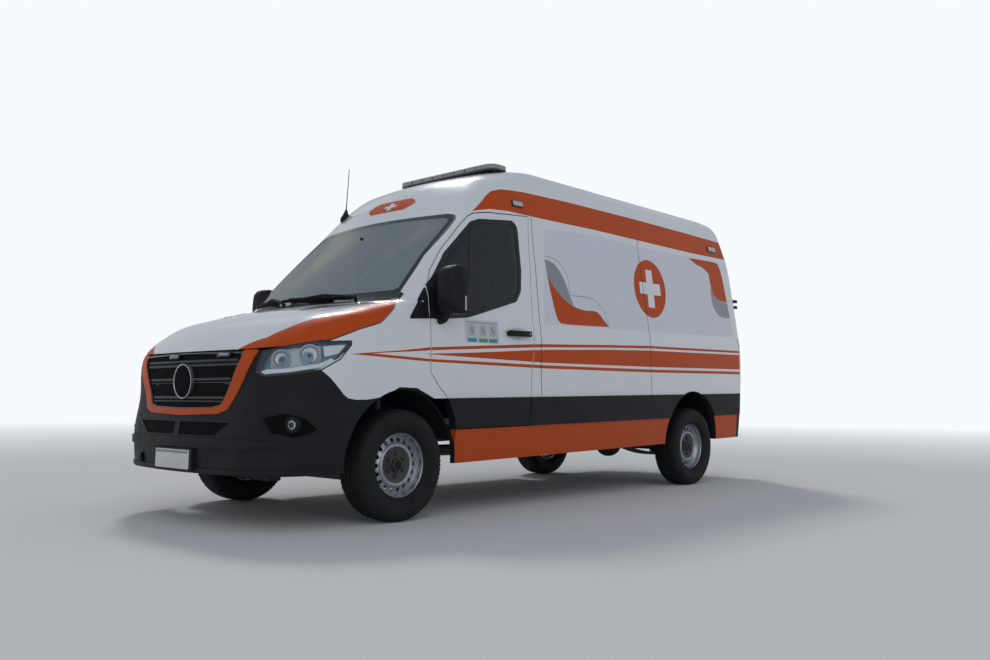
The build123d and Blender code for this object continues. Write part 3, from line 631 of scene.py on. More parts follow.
def on_skin(view, a, b):
    """A frame on the skin: Z along its normal, Y as far up as it can be."""
    place, normal = skin.hit(view, a, b)
    x = Vector((0, 0, 1)).cross(normal).normalized()
    return Matrix.Translation(place) @ Matrix((x, normal.cross(x), normal)).transposed().to_4x4()


def aim(place, direction):
    """A frame at a place with Z along a direction."""
    return Matrix.Translation(place) @ Vector(direction).to_track_quat("Z", "Y").to_matrix().to_4x4()


def placed(part, place):
    """A part moved to its place."""
    bmesh.ops.transform(part, matrix=place, verts=part.verts)
    return part


def mirrored(part):
    """The same part on the vehicle's right."""
    placed(part, Matrix.Diagonal((-1, 1, 1, 1)))
    bmesh.ops.reverse_faces(part, faces=part.faces)
    return part


class Piece:
    """A piece under way: mesh parts with a finish each, drawn level and leaned with the body."""

    def __init__(self, name, level=True):
        self.name = name
        self.level = level
        self.mesh = bmesh.new()
        self.finishes = []

    def number(self, finish_name):
        """The material number of a finish in this piece."""
        if finish_name not in self.finishes:
            self.finishes.append(finish_name)
        return self.finishes.index(finish_name)

    def add(self, part, finish_name, place=Matrix()):
        """Take in a mesh part."""
        placed(part, place)
        index = self.number(finish_name)
        copies = {vert: self.mesh.verts.new(vert.co) for vert in part.verts}
        for face in part.faces:
            new = self.mesh.faces.new([copies[vert] for vert in face.verts])
            new.material_index = index
        part.free()

    def both(self, part, finish_name, place=Matrix()):
        """Take in a part and its mirror image."""
        self.add(placed(part, place).copy(), finish_name)
        self.add(mirrored(part), finish_name)

    def close(self, body, slot_name="dark_plastic", replaces=(), sharp=35, follow=False):
        if self.level:
            placed(self.mesh, STANCE)
        data = bpy.data.meshes.new(self.name)
        self.mesh.to_mesh(data)
        self.mesh.free()
        data.shade_smooth()
        data.set_sharp_from_angle(angle=math.radians(sharp))
        if follow:
            turn = STANCE.to_3x3()
            normals = []
            for polygon in data.polygons:
                for corner in polygon.vertices:
                    normal = turn @ skin.carry(LEVEL @ data.vertices[corner].co)[1]
                    facing = normal.dot(polygon.normal)
                    follows = abs(facing) > 0.85
                    normals.append(normal * math.copysign(1, facing) if follows else polygon.normal)
            data.normals_split_custom_set(normals)
        return self.declare(data, body, slot_name, replaces)

    def declare(self, data, body, slot_name, replaces):
        """Put the finished mesh in the scene on its body."""
        for finish_name in self.finishes:
            data.materials.append(FINISHES[finish_name])
        thing = bpy.data.objects.new(self.name, data)
        bpy.context.scene.collection.objects.link(thing)
        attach(thing, body)
        if replaces:
            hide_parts(*replaces)
        return thing


BAND_LOW = 0.565
BAND_HIGH = 0.775
ARCHES = ((-1.940, 0.365), (1.700, 0.330))
ARCH_RADIUS = 0.472
ARCH_EDGE = 0.012
# A panel's face is outer skin, a gap's side or the inside
OUTER = 1
RIM = 2
INNER = 3
SKIN_REACH = 0.004
LINING_DEPTH = 0.035
VIEW_AXES = {"side": (1, 2), "front": (0, 2), "top": (0, 1)}


class Panel(Piece):
    """A skin panel of the frame, to be cut along the livery and seams, painted and smoothed."""

    def __init__(self, node, base, grid=(0.0, 0.085)):
        super().__init__("body_" + node if node in ("roof", "hood") else node + "_skin")
        self.number(base)
        self.node = node
        self.mesh.from_mesh(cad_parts[node].data)
        placed(self.mesh, LEVEL)
        bmesh.ops.remove_doubles(self.mesh, verts=self.mesh.verts, dist=3e-5)
        self.kind = self.mesh.faces.layers.int.new("kind")
        self.striped = False
        self.flat = False
        self.hinged = node.startswith(("rear_door", "body_side"))
        for face in self.mesh.faces:
            self.sort(face)
        for axis, step in ((1, grid[0]), (2, grid[1])):
            if step:
                self.slice(axis, step)

    def sort(self, face):
        """Whether a face is outer skin, a gap's side or the inside."""
        moved, normal, height = skin.carry(face.calc_center_median())
        facing = face.normal.dot(normal)
        face[self.kind] = RIM
        if height > -SKIN_REACH and facing > 0.7 and not (self.hinged and height > SKIN_REACH):
            face[self.kind] = OUTER
        elif height < -LINING_DEPTH and facing < -0.3:
            face[self.kind] = INNER

    def outer(self):
        """The faces of the outer skin."""
        return [face for face in self.mesh.faces if face[self.kind] == OUTER]

    def divide(self, faces, place, normal):
        """Cut faces by a plane."""
        edges = {edge for face in faces for edge in face.edges}
        verts = {vert for face in faces for vert in face.verts}
        bmesh.ops.bisect_plane(self.mesh, geom=[*verts, *edges, *faces], dist=2e-5, plane_co=place,
                               plane_no=normal)

    def part_at(self, faces, axis, place, slack=1e-5):
        """Cut the faces that cross a place on an axis."""
        crossing = []
        for face in faces:
            values = [vert.co[axis] for vert in face.verts]
            if min(values) < place - slack and max(values) > place + slack:
                crossing.append(face)
        if crossing:
            normal = Vector([float(index == axis) for index in range(3)])
            self.divide(crossing, normal * place, normal)

    def slice(self, axis, step):
        """Even cuts across the outer skin, for its curve."""
        values = [vert.co[axis] for face in self.outer() for vert in face.verts]
        for cut in range(1, int((max(values) - min(values)) / step) + 1 if values else 0):
            self.part_at(self.outer(), axis, min(values) + cut * step)

    def cut(self, view, points):
        """Cut the outer skin along an outline drawn in a view."""
        axes = VIEW_AXES[view]
        for start, end in zip(points, points[1:] + points[:1]):
            normal = Vector((0, 0, 0))
            place = Vector((0, 0, 0))
            normal[axes[0]], normal[axes[1]] = end[1] - start[1], start[0] - end[0]
            place[axes[0]], place[axes[1]] = start
            if normal.length < 1e-6:
                continue
            normal.normalize()
            near = []
            for face in self.outer():
                spans = [[vert.co[axis] for vert in face.verts] for axis in axes]
                if all(min(span) < max(pair) + 1e-4 and max(span) > min(pair) - 1e-4
                       for span, pair in zip(spans, zip(start, end))):
                    sides = [normal.dot(vert.co - place) for vert in face.verts]
                    if min(sides) < -1e-5 and max(sides) > 1e-5:
                        near.append(face)
            if near:
                self.divide(near, place, normal)

    def region(self, view, points, finish_name):
        """Cut an outline in the skin and paint the faces whose middles are in it."""
        self.cut(view, points)
        a_axis, b_axis = VIEW_AXES[view]
        index = self.number(finish_name)
        found = []
        for face in self.outer():
            middle = face.calc_center_median()
            if contains(points, middle[a_axis], middle[b_axis]):
                face.material_index = index
                found.append(face)
        return found

    def seam(self, view, points, width=0.006, depth=0.005):
        """Press a shut line into the skin."""
        faces = []
        for a, b in zip(points, points[1:]):
            faces += self.region(view, ribbon([a, b], width), "seam_shadow")
        faces = [face for face in dict.fromkeys(faces) if face.is_valid]
        if faces:
            bmesh.ops.inset_region(self.mesh, faces=faces, thickness=0.0004, depth=-depth,
                                   use_even_offset=False)

    def close(self, body, slot_name="dark_plastic", lining="lining"):
        inner = self.number(lining)
        if self.striped:
            for height in (BAND_LOW, BAND_HIGH):
                self.part_at([face for face in self.mesh.faces if face[self.kind] == RIM], 2, height, 1e-4)
        for face in self.mesh.faces:
            if face[self.kind] == INNER:
                face.material_index = inner
            elif face[self.kind] == RIM:
                face.material_index = self.rim_finish(face)
        bmesh.ops.triangulate(self.mesh, faces=[face for face in self.mesh.faces if len(face.verts) > 3])
        shown = {}
        for vert in self.mesh.verts:
            moved, normal, height = skin.carry(vert.co)
            shown[vert] = normal
            if self.flat:
                vert.co += moved - normal * max(height, 0)
            elif height < SKIN_REACH:
                vert.co += moved
        self.mesh.normal_update()
        turn = STANCE.to_3x3()
        normals = []
        for face in self.mesh.faces:
            smooth = face[self.kind] == OUTER
            normals += [turn @ (shown[loop.vert] if smooth else face.normal) for loop in face.loops]
            face.smooth = True
        self.mesh.faces.layers.int.remove(self.kind)
        placed(self.mesh, STANCE)
        data = bpy.data.meshes.new(self.name)
        self.mesh.to_mesh(data)
        self.mesh.free()
        data.normals_split_custom_set(normals)
        return self.declare(data, body, slot_name, (self.node,))

    def rim_finish(self, face):
        """A gap's side has the colour of the skin at its height; hinges and a wheel arch's edge are black."""
        middle = face.calc_center_median()
        if self.hinged and skin.carry(middle)[2] > 0.003:
            return self.number("dark_plastic")
        if self.striped:
            if any(abs(math.hypot(middle.y - y, middle.z - z) - ARCH_RADIUS) < ARCH_EDGE for y, z in ARCHES):
                return self.number("seal_rubber")
            if middle.z < BAND_HIGH:
                return self.number("orange_paint" if middle.z < BAND_LOW else "dark_plastic")
        return 0


def contains(points, a, b):
    """Whether an outline goes round a point."""
    odd = False
    for (a0, b0), (a1, b1) in zip(points, points[1:] + points[:1]):
        if (b0 > b) != (b1 > b) and a < (a1 - a0) * (b - b0) / (b1 - b0) + a0:
            odd = not odd
    return odd


# The livery and seams, drawn in millimetres in the level frame. A side outline is (place along, height).
def metres(points):
    """Points given in millimetres."""
    return [tuple(value * MM for value in point) for point in points]


STRIPES = (
    ("orange_paint", [(-2383, 1043), (-1716, 1108), (-548, 1169), (300, 1190), (950, 1202), (2900, 1204),
                      (2900, 960), (950, 963), (-548, 978), (-1716, 1007)]),
    ("white_paint", [(-2208, 1053), (-1716, 1090), (-548, 1143), (300, 1168), (950, 1182), (2900, 1184),
                     (2900, 986), (950, 988), (-548, 1003), (-1716, 1026)]),
    ("orange_paint", [(-1783, 1062), (-548, 1124), (300, 1149), (950, 1162), (2900, 1164),
                      (2900, 1010), (950, 1011), (-548, 1022)]),
)
BAND = [(-2440, 565), (-2440, 775), (2640, 775), (2640, 565)]
SILL = [(-1487, 300), (-1487, 566), (2586, 566), (2586, 300)]
FRONT_ARCH_TRIM = [(-2440, 600), (-2440, 775), (-2250, 775), (-2119, 790), (-1986, 848), (-1835, 842),
                   (-1689, 779), (-1534, 690), (-1471, 605), (-1478, 453), (-1940, 365)]
REAR_CORNER = [(2586, 300), (2586, 777), (2900, 777), (2900, 300)]
ROOF_BAND = [(-1164, 2112), (-1084, 2175), (-994, 2251), (-931, 2299), (-848, 2321), (-600, 2338),
             (0, 2347), (982, 2343), (1959, 2329), (2483, 2318), (2640, 2314), (2640, 2142), (1869, 2137),
             (922, 2149), (300, 2157), (-437, 2154), (-814, 2156), (-1017, 2142)]
WALL_FILM = [(-505, 1317), (-398, 2080), (99, 2106), (931, 2092), (2421, 2094), (2542, 1540), (2587, 1343)]
FRONT_GREY = [(-424, 1833), (-324, 1811), (-248, 1752), (-194, 1677), (-152, 1587), (-101, 1484),
              (-234, 1541), (-330, 1612), (-394, 1686), (-417, 1742)]
FRONT_ORANGE = [(-417, 1742), (-394, 1686), (-330, 1612), (-234, 1541), (-101, 1484), (42, 1462), (180, 1463),
                (247, 1437), (299, 1392), (364, 1343), (23, 1336), (-241, 1337), (-303, 1346), (-339, 1390),
                (-368, 1492), (-394, 1607)]
OUTLINE = [(-431, 1858), (-317, 1851), (-209, 1796), (-148, 1694), (-141, 1588), (-110, 1570), (-10, 1573),
           (126, 1567), (238, 1533), (321, 1455), (364, 1343)]
REAR_ORANGE = [(1817, 2082), (2254, 2092), (2396, 2082), (2451, 1964), (2512, 1691), (2347, 1710),
               (2235, 1763), (2198, 1860), (2181, 1959), (2072, 2009), (1941, 2035)]
REAR_GREY = [(2193, 1840), (2235, 1763), (2347, 1710), (2510, 1681), (2541, 1536), (2370, 1534), (2257, 1584),
             (2196, 1680)]
STRAIGHT_SHAPES = (
    *STRIPES, ("orange_paint", SILL), ("dark_plastic", BAND), ("dark_plastic", REAR_CORNER),
    ("dark_plastic", FRONT_ARCH_TRIM), ("orange_paint", ROOF_BAND), ("panel_film", WALL_FILM),
)
CURVED_SHAPES = (
    ("grey_film", FRONT_GREY), ("orange_paint", FRONT_ORANGE), ("orange_paint", REAR_ORANGE),
    ("grey_film", REAR_GREY),
)
BADGE = (1067, 1720, 262)
CROSS = [(-170, -52), (-52, -52), (-52, -170), (52, -170), (52, -52), (170, -52), (170, 52), (52, 52),
         (52, 170), (-52, 170), (-52, 52), (-170, 52)]
REAR_SEAM = [(991, 2325), (922, 2085), (980, 1346), (969, 993), (981, 783), (1004, 564)]
MIDDLE_SEAM = [(-547, 2150), (-562, 570)]
ROOF_MARK = [(-290, 2252), (-190, 2305), (190, 2305), (290, 2252), (190, 2200), (-190, 2200)]
REAR_BANDS = ((0.5, 0.775, "dark_plastic"), (0.960, 1.204, "orange_paint"), (0.986, 1.184, "white_paint"),
              (1.010, 1.164, "orange_paint"), (2.142, 2.314, "orange_paint"))
TAIL_BANDS = ((1.03, 1.14, "amber_lens"), (0.93, 1.03, "clear_lens"))
HOOD_STRIP = [(515, -4000), (515, -2847), (664, -2751), (712, -2674), (839, -2428), (851, -1949),
              (851, -1800), (1200, -1800), (1200, -4000)]


def flowing(points):
    """A closed outline drawn smooth through its points, its corners kept."""
    points = [Vector(point) for point in points]
    corner = math.radians(50)
    result = []
    for index in range(len(points)):
        a, b, c, d = [points[(index + offset) % len(points)] for offset in (-1, 0, 1, 2)]
        before = a if (b - a).angle(c - b) < corner else b
        after = d if (c - b).angle(d - c) < corner else c
        steps = 5 if (c - b).length > 0.03 else 2
        result += [tuple(spline(before, b, c, after, step / steps)) for step in range(steps)]
    return result


def ribbon(points, width):
    """A band of even width along a line."""
    points = [Vector(point) for point in points]
    left = []
    right = []
    for index, point in enumerate(points):
        along = (points[min(index + 1, len(points) - 1)] - points[max(index - 1, 0)]).normalized()
        side = Vector((along.y, -along.x)) * width / 2
        left.append(tuple(point - side))
        right.append(tuple(point + side))
    return left + right[::-1]


def side_livery(panel):
    """Paint the stripes, bands and curved shapes of both sides."""
    panel.striped = True
    low, high = [[pick(vert.co[axis] for vert in panel.mesh.verts) for axis in (1, 2)] for pick in (min, max)]

    def region(outline, finish_name):
        """Paint an outline where the panel reaches it."""
        ends = [(min(values), max(values)) for values in zip(*outline)]
        if all(end[0] <= high[axis] and end[1] >= low[axis] for axis, end in enumerate(ends)):
            panel.region("side", outline, finish_name)

    for finish_name, points in STRAIGHT_SHAPES:
        region(metres(points), finish_name)
    for finish_name, points in CURVED_SHAPES:
        region(flowing(metres(points)), finish_name)
    line = [tuple(point) for point in curve(metres(OUTLINE), 3)]
    for a, b in zip(line, line[1:]):
        region(ribbon([a, b], 0.006), "grey_film")
    y, z, radius = [value * MM for value in BADGE]
    region(circle(y, z, radius, 40), "orange_paint")
    region([(y + a, z + b) for a, b in metres(CROSS)], "white_paint")
    if panel.node.startswith("body_side"):
        for line in REAR_SEAM, MIDDLE_SEAM:
            panel.seam("side", metres(line))
    if panel.node == "roof":
        panel.region("front", rounded(metres(ROOF_MARK), 0.03, 3), "orange_paint")
        panel.region("front", [(x * 0.4, 2.252 + z * 0.19) for x, z in metres(CROSS)], "white_paint")


class BodyPanels(bpy.types.Operator):
    """Paint, cut and smooth the white body with its livery"""

    bl_idname = "ambulance.body_panels"
    bl_label = "Body panels"

    def execute(self, context):
        """Make every skin panel."""
        make_finishes(context.scene.ambulance_paint)
        for node in ("body_side_left", "body_side_right", "sliding_side_door", "front_door_left",
                     "front_door_right", "front_fenders", "roof"):
            panel = Panel(node, "white_paint")
            side_livery(panel)
            panel.close(node if node.startswith("front_door") else "body", "white_paint")
        for node in ("rear_door_left", "rear_door_right"):
            panel = Panel(node, "white_paint")
            for low, high, finish_name in REAR_BANDS:
                panel.region("front", rectangle(-1.1, 1.1, low, high), finish_name)
            panel.close(node, "white_paint")
        lamps = Panel("tail_lights", "red_lens")
        for low, high, finish_name in TAIL_BANDS:
            lamps.region("side", rectangle(2.5, 3.0, low, high), finish_name)
        lamps.close("body", "red_lens", "red_lens")
        hood = Panel("hood", "white_paint", (0.07, 0.05))
        strip = metres(HOOD_STRIP)
        hood.region("top", strip, "orange_paint")
        hood.region("top", [(-x, y) for x, y in strip][::-1], "orange_paint")
        hood.close("hood", "white_paint")
        for node in ("rear_bumper", "cowl"):
            Panel(node, "dark_plastic").close("body", "dark_plastic", "dark_plastic")
        return {"FINISHED"}


HEADLIGHT = [(-280, 41), (-243, 165), (-70, 200), (110, 228), (160, 222), (275, 229), (272, 200),
             (207, 113), (103, 51), (-75, 26), (-230, 14)]
LIGHT_PIPE = [(-250, 40), (-226, 28), (-75, 40), (95, 66), (175, 108), (160, 122), (85, 88), (-80, 62),
              (-222, 55)]
INDICATOR = [(120, 130), (200, 150), (245, 205), (160, 200), (110, 195)]
LAMP_HOUSING = [(-205, 60), (-190, 170), (-60, 192), (100, 206), (105, 90), (-60, 66)]
LAMP_BOWLS = ((-0.130, 0.115, 0.050), (0.030, 0.140, 0.055))
BOWL_RING = [(0.009, -0.004), (0.009, 0.002), (0.004, 0.006), (0.001, 0.003), (0.001, -0.004),
             (0.009, -0.004)]
BOWL_DEPTH = 0.026
BOWL_WALL = 0.003
BULB_SHADE = [(0.0, 0.004), (0.010, 0.002), (0.013, -0.006), (0.012, -0.030), (0.0, -0.032)]
FOG_LENS = [(0.0, 0.006), (0.015, 0.004), (0.028, -0.002), (0.028, -0.005), (0.0, -0.002)]
FOG_RING = [(0.029, -0.026), (0.029, 0.004), (0.034, 0.007), (0.049, 0.004), (0.050, -0.026), (0.029, -0.026)]
GRILLE_TRIM = [(0, 683), (400, 695), (480, 720), (600, 895), (655, 1000), (676, 1060), (676, 1072), (0, 1072)]
GRILLE_RING = [*GRILLE_TRIM[:-1], (566, 1072), (572, 1030), (500, 890), (415, 745), (330, 728), (0, 722)]
GRILLE_PLACE = [(0, 680), (400, 692), (485, 720), (605, 906), (700, 950), (745, 1074), (0, 1074)]
GRILLE = [(0, 722), (330, 728), (415, 745), (500, 890), (572, 1030), (566, 1062), (0, 1071)]
FIN_SECTION = [(0.0, 0.36), (0.35, 0.5), (0.9, 0.42), (1.0, 0.30), (1.0, -0.30), (0.9, -0.42), (0.35, -0.5),
               (0.0, -0.36)]
FOG = [(706, 690), (846, 722), (926, 692), (972, 590), (905, 532), (782, 578)]
BUMPER_LEDGE = [(0, 492), (660, 492), (860, 506), (860, 534), (660, 548), (0, 550)]


def both_sides(points):
    """A half outline in millimetres, drawn from the middle round to the middle, with its mirror image."""
    points = metres(points)
    return points + [(-x, z) for x, z in reversed(points) if x > 0]


def lamp_frame(a, b, depth):
    """A frame in the headlight: Z ahead, a along the corner and b up, this deep behind the skin."""
    place, normal = skin.hit("lamp", a, b)
    axes = Matrix((LAMP_ALONG, Vector((0, 0, 1)), LAMP_AHEAD)).transposed().to_4x4()
    return Matrix.Translation(place - LAMP_AHEAD * depth) @ axes


def reflector(radius, depth):
    """A lamp's bowl about Z, open ahead."""
    turns = [step / 10 * math.pi / 2 for step in range(11)]
    inner = [(radius * math.sin(turn), -depth * math.cos(turn)) for turn in turns]
    radius += BOWL_WALL
    depth += BOWL_WALL
    return lathe(inner + [(radius * math.sin(turn), -depth * math.cos(turn)) for turn in reversed(turns)], 40)


class FrontLamps(bpy.types.Operator):
    """Headlights, fog lamps and the small front strobes"""

    bl_idname = "ambulance.front_lamps"
    bl_label = "Front lamps"

    def execute(self, context):
        """Build the lamps behind clear lenses."""
        outline = rounded(metres(HEADLIGHT), 0.012, 3)
        lens = Piece("headlight_lenses")
        lens.both(patch("lamp", grow(outline, -0.005), 0.0, 0.003, 0.02), "lamp_glass")
        lens.close("body", "lamp_glass", (), 40, True)
        inside = Piece("headlight_backs")
        # The lamp's back plate, its blue tint partly a painted reflection
        inside.both(patch("lamp", grow(outline, -0.0035), -0.042, 0.044), "lamp_back_and_painted_reflection")
        inside.both(patch("lamp", grow(outline, 0.001), 0.001, 0.043, 0.03, [grow(outline, -0.007)]),
                    "gloss_black")
        inside.both(patch("lamp", metres(LIGHT_PIPE), -0.005, 0.012, 0.015), "light_pipe")
        inside.both(patch("lamp", metres(INDICATOR), -0.012, 0.020, 0.015), "light_pipe")
        holes = [circle(a, b, radius + 0.0065) for a, b, radius in LAMP_BOWLS]
        inside.both(patch("lamp", rounded(metres(LAMP_HOUSING), 0.02), -0.028, 0.034, 0.02, holes),
                    "lamp_silver")
        inside.close("body", "lamp_glass", follow=True)
        bowls = Piece("headlight_bowls")
        for a, b, radius in LAMP_BOWLS:
            bowls.both(reflector(radius, BOWL_DEPTH), "reflector", lamp_frame(a, b, 0.024))
            ring = [(radius + out, up) for out, up in BOWL_RING]
            bowls.both(lathe(ring, 40), "lamp_silver", lamp_frame(a, b, 0.024))
            bowls.both(lathe(BULB_SHADE, 24), "gloss_black", lamp_frame(a, b, 0.026))
        bowls.close("body", "lamp_glass", ("headlights",))
        fog = Piece("fog_lamps")
        aimed = aim(on_skin("front", 0.876, 0.635).translation + Vector((0, 0.012, 0)), (0.35, -1, 0.0))
        fog.both(reflector(0.028, 0.022), "reflector", aimed)
        fog.both(lathe(FOG_LENS, 32), "lamp_glass", aimed)
        fog.both(lathe(FOG_RING, 40), "dark_plastic", aimed)
        fog.close("body", "lamp_glass")
        strobe = Piece("grille_strobes")
        for x in (0.415, -0.130):
            place = on_skin("front", x, 1.046)
            strobe.add(brick((-0.062, -0.016, -0.004), (0.062, 0.016, 0.016), 0.004), "gloss_black", place)
            strobe.add(brick((-0.046, -0.008, 0.012), (0.046, 0.008, 0.018)), "label_grey", place)
            lamp = brick((-0.005, -0.005, 0.0165), (0.005, 0.005, 0.0195), 0.001, 1)
            row = repeated(lamp, "row", "lamp_silver", Count=6, Start=(-0.0375, 0, 0), Step=(0.015, 0, 0))
            strobe.add(row, "lamp_silver", place)
        strobe.close("body", sharp=32)
        return {"FINISHED"}


def fin(z, half, height, depth, reach):
    """One grille bar: a rounded blade that follows the bow of the nose, from side to side."""
    rows = []
    for step in range(41):
        x = half * (step / 20 - 1)
        front = skin.hit("front", x, z)[0].y + reach
        rows.append([(x, front + (1 - out) * depth, z + up * height) for out, up in FIN_SECTION])
    return loft(rows)


class Grille(bpy.types.Operator):
    """The grille with its painted surround"""

    bl_idname = "ambulance.grille"
    bl_label = "Grille"

    def execute(self, context):
        """Build the surround, the recess and the bars."""
        settings = context.scene.ambulance_front
        trim = rounded(both_sides(GRILLE_TRIM), 0.012, 3)
        hole = rounded(both_sides(GRILLE), 0.022)
        piece = Piece("grille_bars")
        # A near-black sheet behind the grille's opening: painted shade where the inside is in shadow
        piece.add(patch("front", hole, -0.062, 0.006, 0.06), "black_and_painted_shade")
        piece.add(patch("front", grow(hole, 0.0005), 0.001, 0.062, 0.05, [grow(hole, -0.009)]), "gloss_black")
        behind = rounded(both_sides(GRILLE_PLACE), 0.01, 2)
        piece.add(patch("front", behind, -0.006, 0.030, 0.06, [grow(trim, -0.004)]), "dark_plastic")
        low, high = 0.776, 1.000
        gap = (high - low) / (settings.slats - 1)
        for index in range(settings.slats):
            z = low + gap * index
            half = 0.405 + (z - 0.745) * 0.50
            piece.add(fin(z, half, settings.slat_height * 0.62, 0.040, 0.010), "gloss_black")
            for lift, reach in ((0.014, 0.004), (-0.012, 0.006)):
                piece.add(fin(z + lift, half, settings.slat_height * 0.36, 0.030, reach), "hub_black")
                # A light strip along the top of each ridge: partly trim, partly painted highlight
                piece.add(fin(z + lift + 0.0075, half, 0.003, 0.008, reach - 0.001), "ridge_trim_and_painted_highlight")
            if index:
                for share in (-0.34, -0.66):
                    piece.add(fin(z + gap * share, half - 0.025, 0.010, 0.020, 0.028), "gloss_black")
        badge = on_skin("front", 0, 0.893)
        disc = [(0.0, 0.012), (0.080, 0.010), (0.100, 0.006), (0.103, -0.020), (0.0, -0.020)]
        piece.add(lathe(disc, 64), "black_and_painted_shade", badge)
        ring = [(0.100, -0.010), (0.100, 0.011), (0.104, 0.015), (0.109, 0.013), (0.111, -0.010),
                (0.100, -0.010)]
        piece.add(lathe(ring, 64), "silver_trim", badge)
        piece.close("body", "dark_plastic", ("grille",))
        surround = Piece("grille_surround")
        outline = rounded(both_sides(GRILLE_RING), 0.012, 3)
        surround.add(raised("front", outline, 0.004, 0.040, 0.003, 0.04), "orange_paint")
        surround.close("body")
        return {"FINISHED"}


class FrontBumper(bpy.types.Operator):
    """The front bumper with its recesses, air slot and blank plate"""

    bl_idname = "ambulance.front_bumper"
    bl_label = "Front bumper"

    def execute(self, context):
        """Press the recesses in and add the fittings."""
        bumper = Panel("front_bumper", "dark_plastic", (0.08, 0.05))
        bumper.flat = True
        for side in (1, -1):
            recess = [(x * side, z) for x, z in rounded(metres(FOG), 0.07, 5)][::side]
            faces = bumper.region("front", recess, "dark_plastic")
            bmesh.ops.inset_region(bumper.mesh, faces=faces, thickness=0.020, depth=-0.026,
                                   use_even_offset=True)
            # The recess floors are painted near black: painted shade inside the recess
            for face in faces:
                face.material_index = bumper.number("black_and_painted_shade")
        bumper.close("body", "dark_plastic", "dark_plastic")
        piece = Piece("bumper_fittings")
        ledge = rounded(both_sides(BUMPER_LEDGE), 0.014)
        piece.add(raised("front", ledge, 0.011, 0.010, 0.009, 0.05), "dark_plastic")
        lip = rectangle(-0.90, 0.90, 0.345, 0.372)
        piece.add(raised("front", lip, 0.008, 0.010, 0.005, 0.05), "dark_plastic")
        # A near-black sheet behind the air slot: painted shade inside the slot
        piece.add(patch("front", rectangle(-0.52, 0.52, 0.560, 0.652), -0.060, 0.004, 0.06), "black_and_painted_shade")
        upright = prism(rectangle(-0.0025, 0.0025, 0.562, 0.650), -0.006, 0.006)
        across = prism(rectangle(-0.52, 0.52, -0.0025, 0.0025), -0.006, 0.006)
        lengths = [edge for edge in across.edges if abs(edge.verts[0].co.x - edge.verts[1].co.x) > 0.5]
        bmesh.ops.subdivide_edges(across, edges=lengths, cuts=30)
        for bar, count, start, step in ((upright, 42, (-0.51, 0, 0), (0.025, 0, 0)),
                                        (across, 4, (0, 0.575, 0), (0, 0.021, 0))):
            part = repeated(bar, "row", "black_and_painted_shade", Count=count, Start=start, Step=step)
            for vert in part.verts:
                x, z, depth = vert.co
                vert.co = (x, skin.hit("front", x, z)[0].y + 0.045 + depth, z)
            piece.add(part, "black_and_painted_shade")
        plate = aim(skin.hit("front", 0, 0.418)[0] + Vector((0, -0.018, 0)), (0, -1, 0.03))
        piece.add(prism(rectangle(-0.225, 0.225, -0.068, 0.068, 0.012), -0.030, 0.004, 0.003),
                  "dark_plastic", plate)
        piece.add(prism(rectangle(-0.200, 0.200, -0.058, 0.058, 0.010), 0.003, 0.0065, 0.001),
                  "plate_white", plate)
        piece.add(prism(rectangle(-0.194, 0.194, 0.036, 0.052, 0.004), 0.006, 0.0071, 0.0004), "label_grey",
                  plate)
        bolt = lathe([(0.0, 0.0098), (0.004, 0.0095), (0.006, 0.0082), (0.006, 0.006), (0.0, 0.006)], 16)
        bolts = repeated(bolt, "row", "silver_steel", Count=2, Start=(-0.13, 0.044, 0), Step=(0.26, 0, 0))
        piece.add(bolts, "silver_steel", plate)
        eye = [(0.036, -0.010), (0.036, 0.001), (0.039, 0.004), (0.044, 0.002), (0.045, -0.010),
               (0.036, -0.010)]
        piece.add(lathe(eye, 40), "dark_plastic", on_skin("front", -0.470, 0.400))
        for x, z, lift in ((0.30, 0.520, 0.010), (-0.30, 0.520, 0.010), (0.70, 0.600, 0.0),
                           (-0.70, 0.600, 0.0)):
            sensor = [(0.0, 0.003), (0.009, 0.0028), (0.011, 0.001), (0.012, -0.004), (0.0, -0.004)]
            sensor = [(radius, up + lift) for radius, up in sensor]
            piece.add(lathe(sensor, 24), "dark_plastic", on_skin("front", x, z))
        piece.close("body")
        return {"FINISHED"}


class Glazing(bpy.types.Operator):
    """The windscreen and windows"""

    bl_idname = "ambulance.glazing"
    bl_label = "Glazing"

    def execute(self, context):
        """Smooth each pane."""
        # The windscreen's finish is partly glass tint, partly painted reflection
        Panel("windscreen", "screen_glass_and_painted_reflection", (0, 0.05)).close("body", "window_glass", "window_glass")
        for door in ("front_{}_left", "front_{}_right", "rear_{}_left", "rear_{}_right"):
            pane = Panel(door.format("window"), "window_glass", (0, 0.05))
            pane.close(door.format("door"), "window_glass", "window_glass")
        return {"FINISHED"}


class PlainNodes(bpy.types.Operator):
    """Finish the built pieces that keep their shape"""

    bl_idname = "ambulance.plain_nodes"
    bl_label = "Built pieces"

    def execute(self, context):
        """Give each kept piece its finish."""
        kept = {
            "dark_plastic": ("wheel_arch_liners", "fuel_tank"),
            "soft_trim": ("dashboard", "steering_wheel"),
            "floor_cover": ("floor",),
            "grey_trim": ("bulkhead",),
            "chassis_steel": ("underbody_frame", "front_subframe", "front_struts", "rear_axle",
                              "leaf_springs"),
            "cast_metal": ("engine", "knuckle_left", "knuckle_right"),
            "exhaust_steel": ("exhaust",),
        }
        for finish_name, nodes in kept.items():
            for node in nodes:
                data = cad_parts[node].data
                data.materials.clear()
                data.materials.append(FINISHES[finish_name])
        return {"FINISHED"}


# Repeats: a part set out along a ring or a row by nodes, then made one plain mesh
REPEAT_INPUTS = {
    "Part": "Geometry", "Count": "Int", "Radius": "Float", "Start": "Vector", "Step": "Vector",
    "Finish": "Material",
}


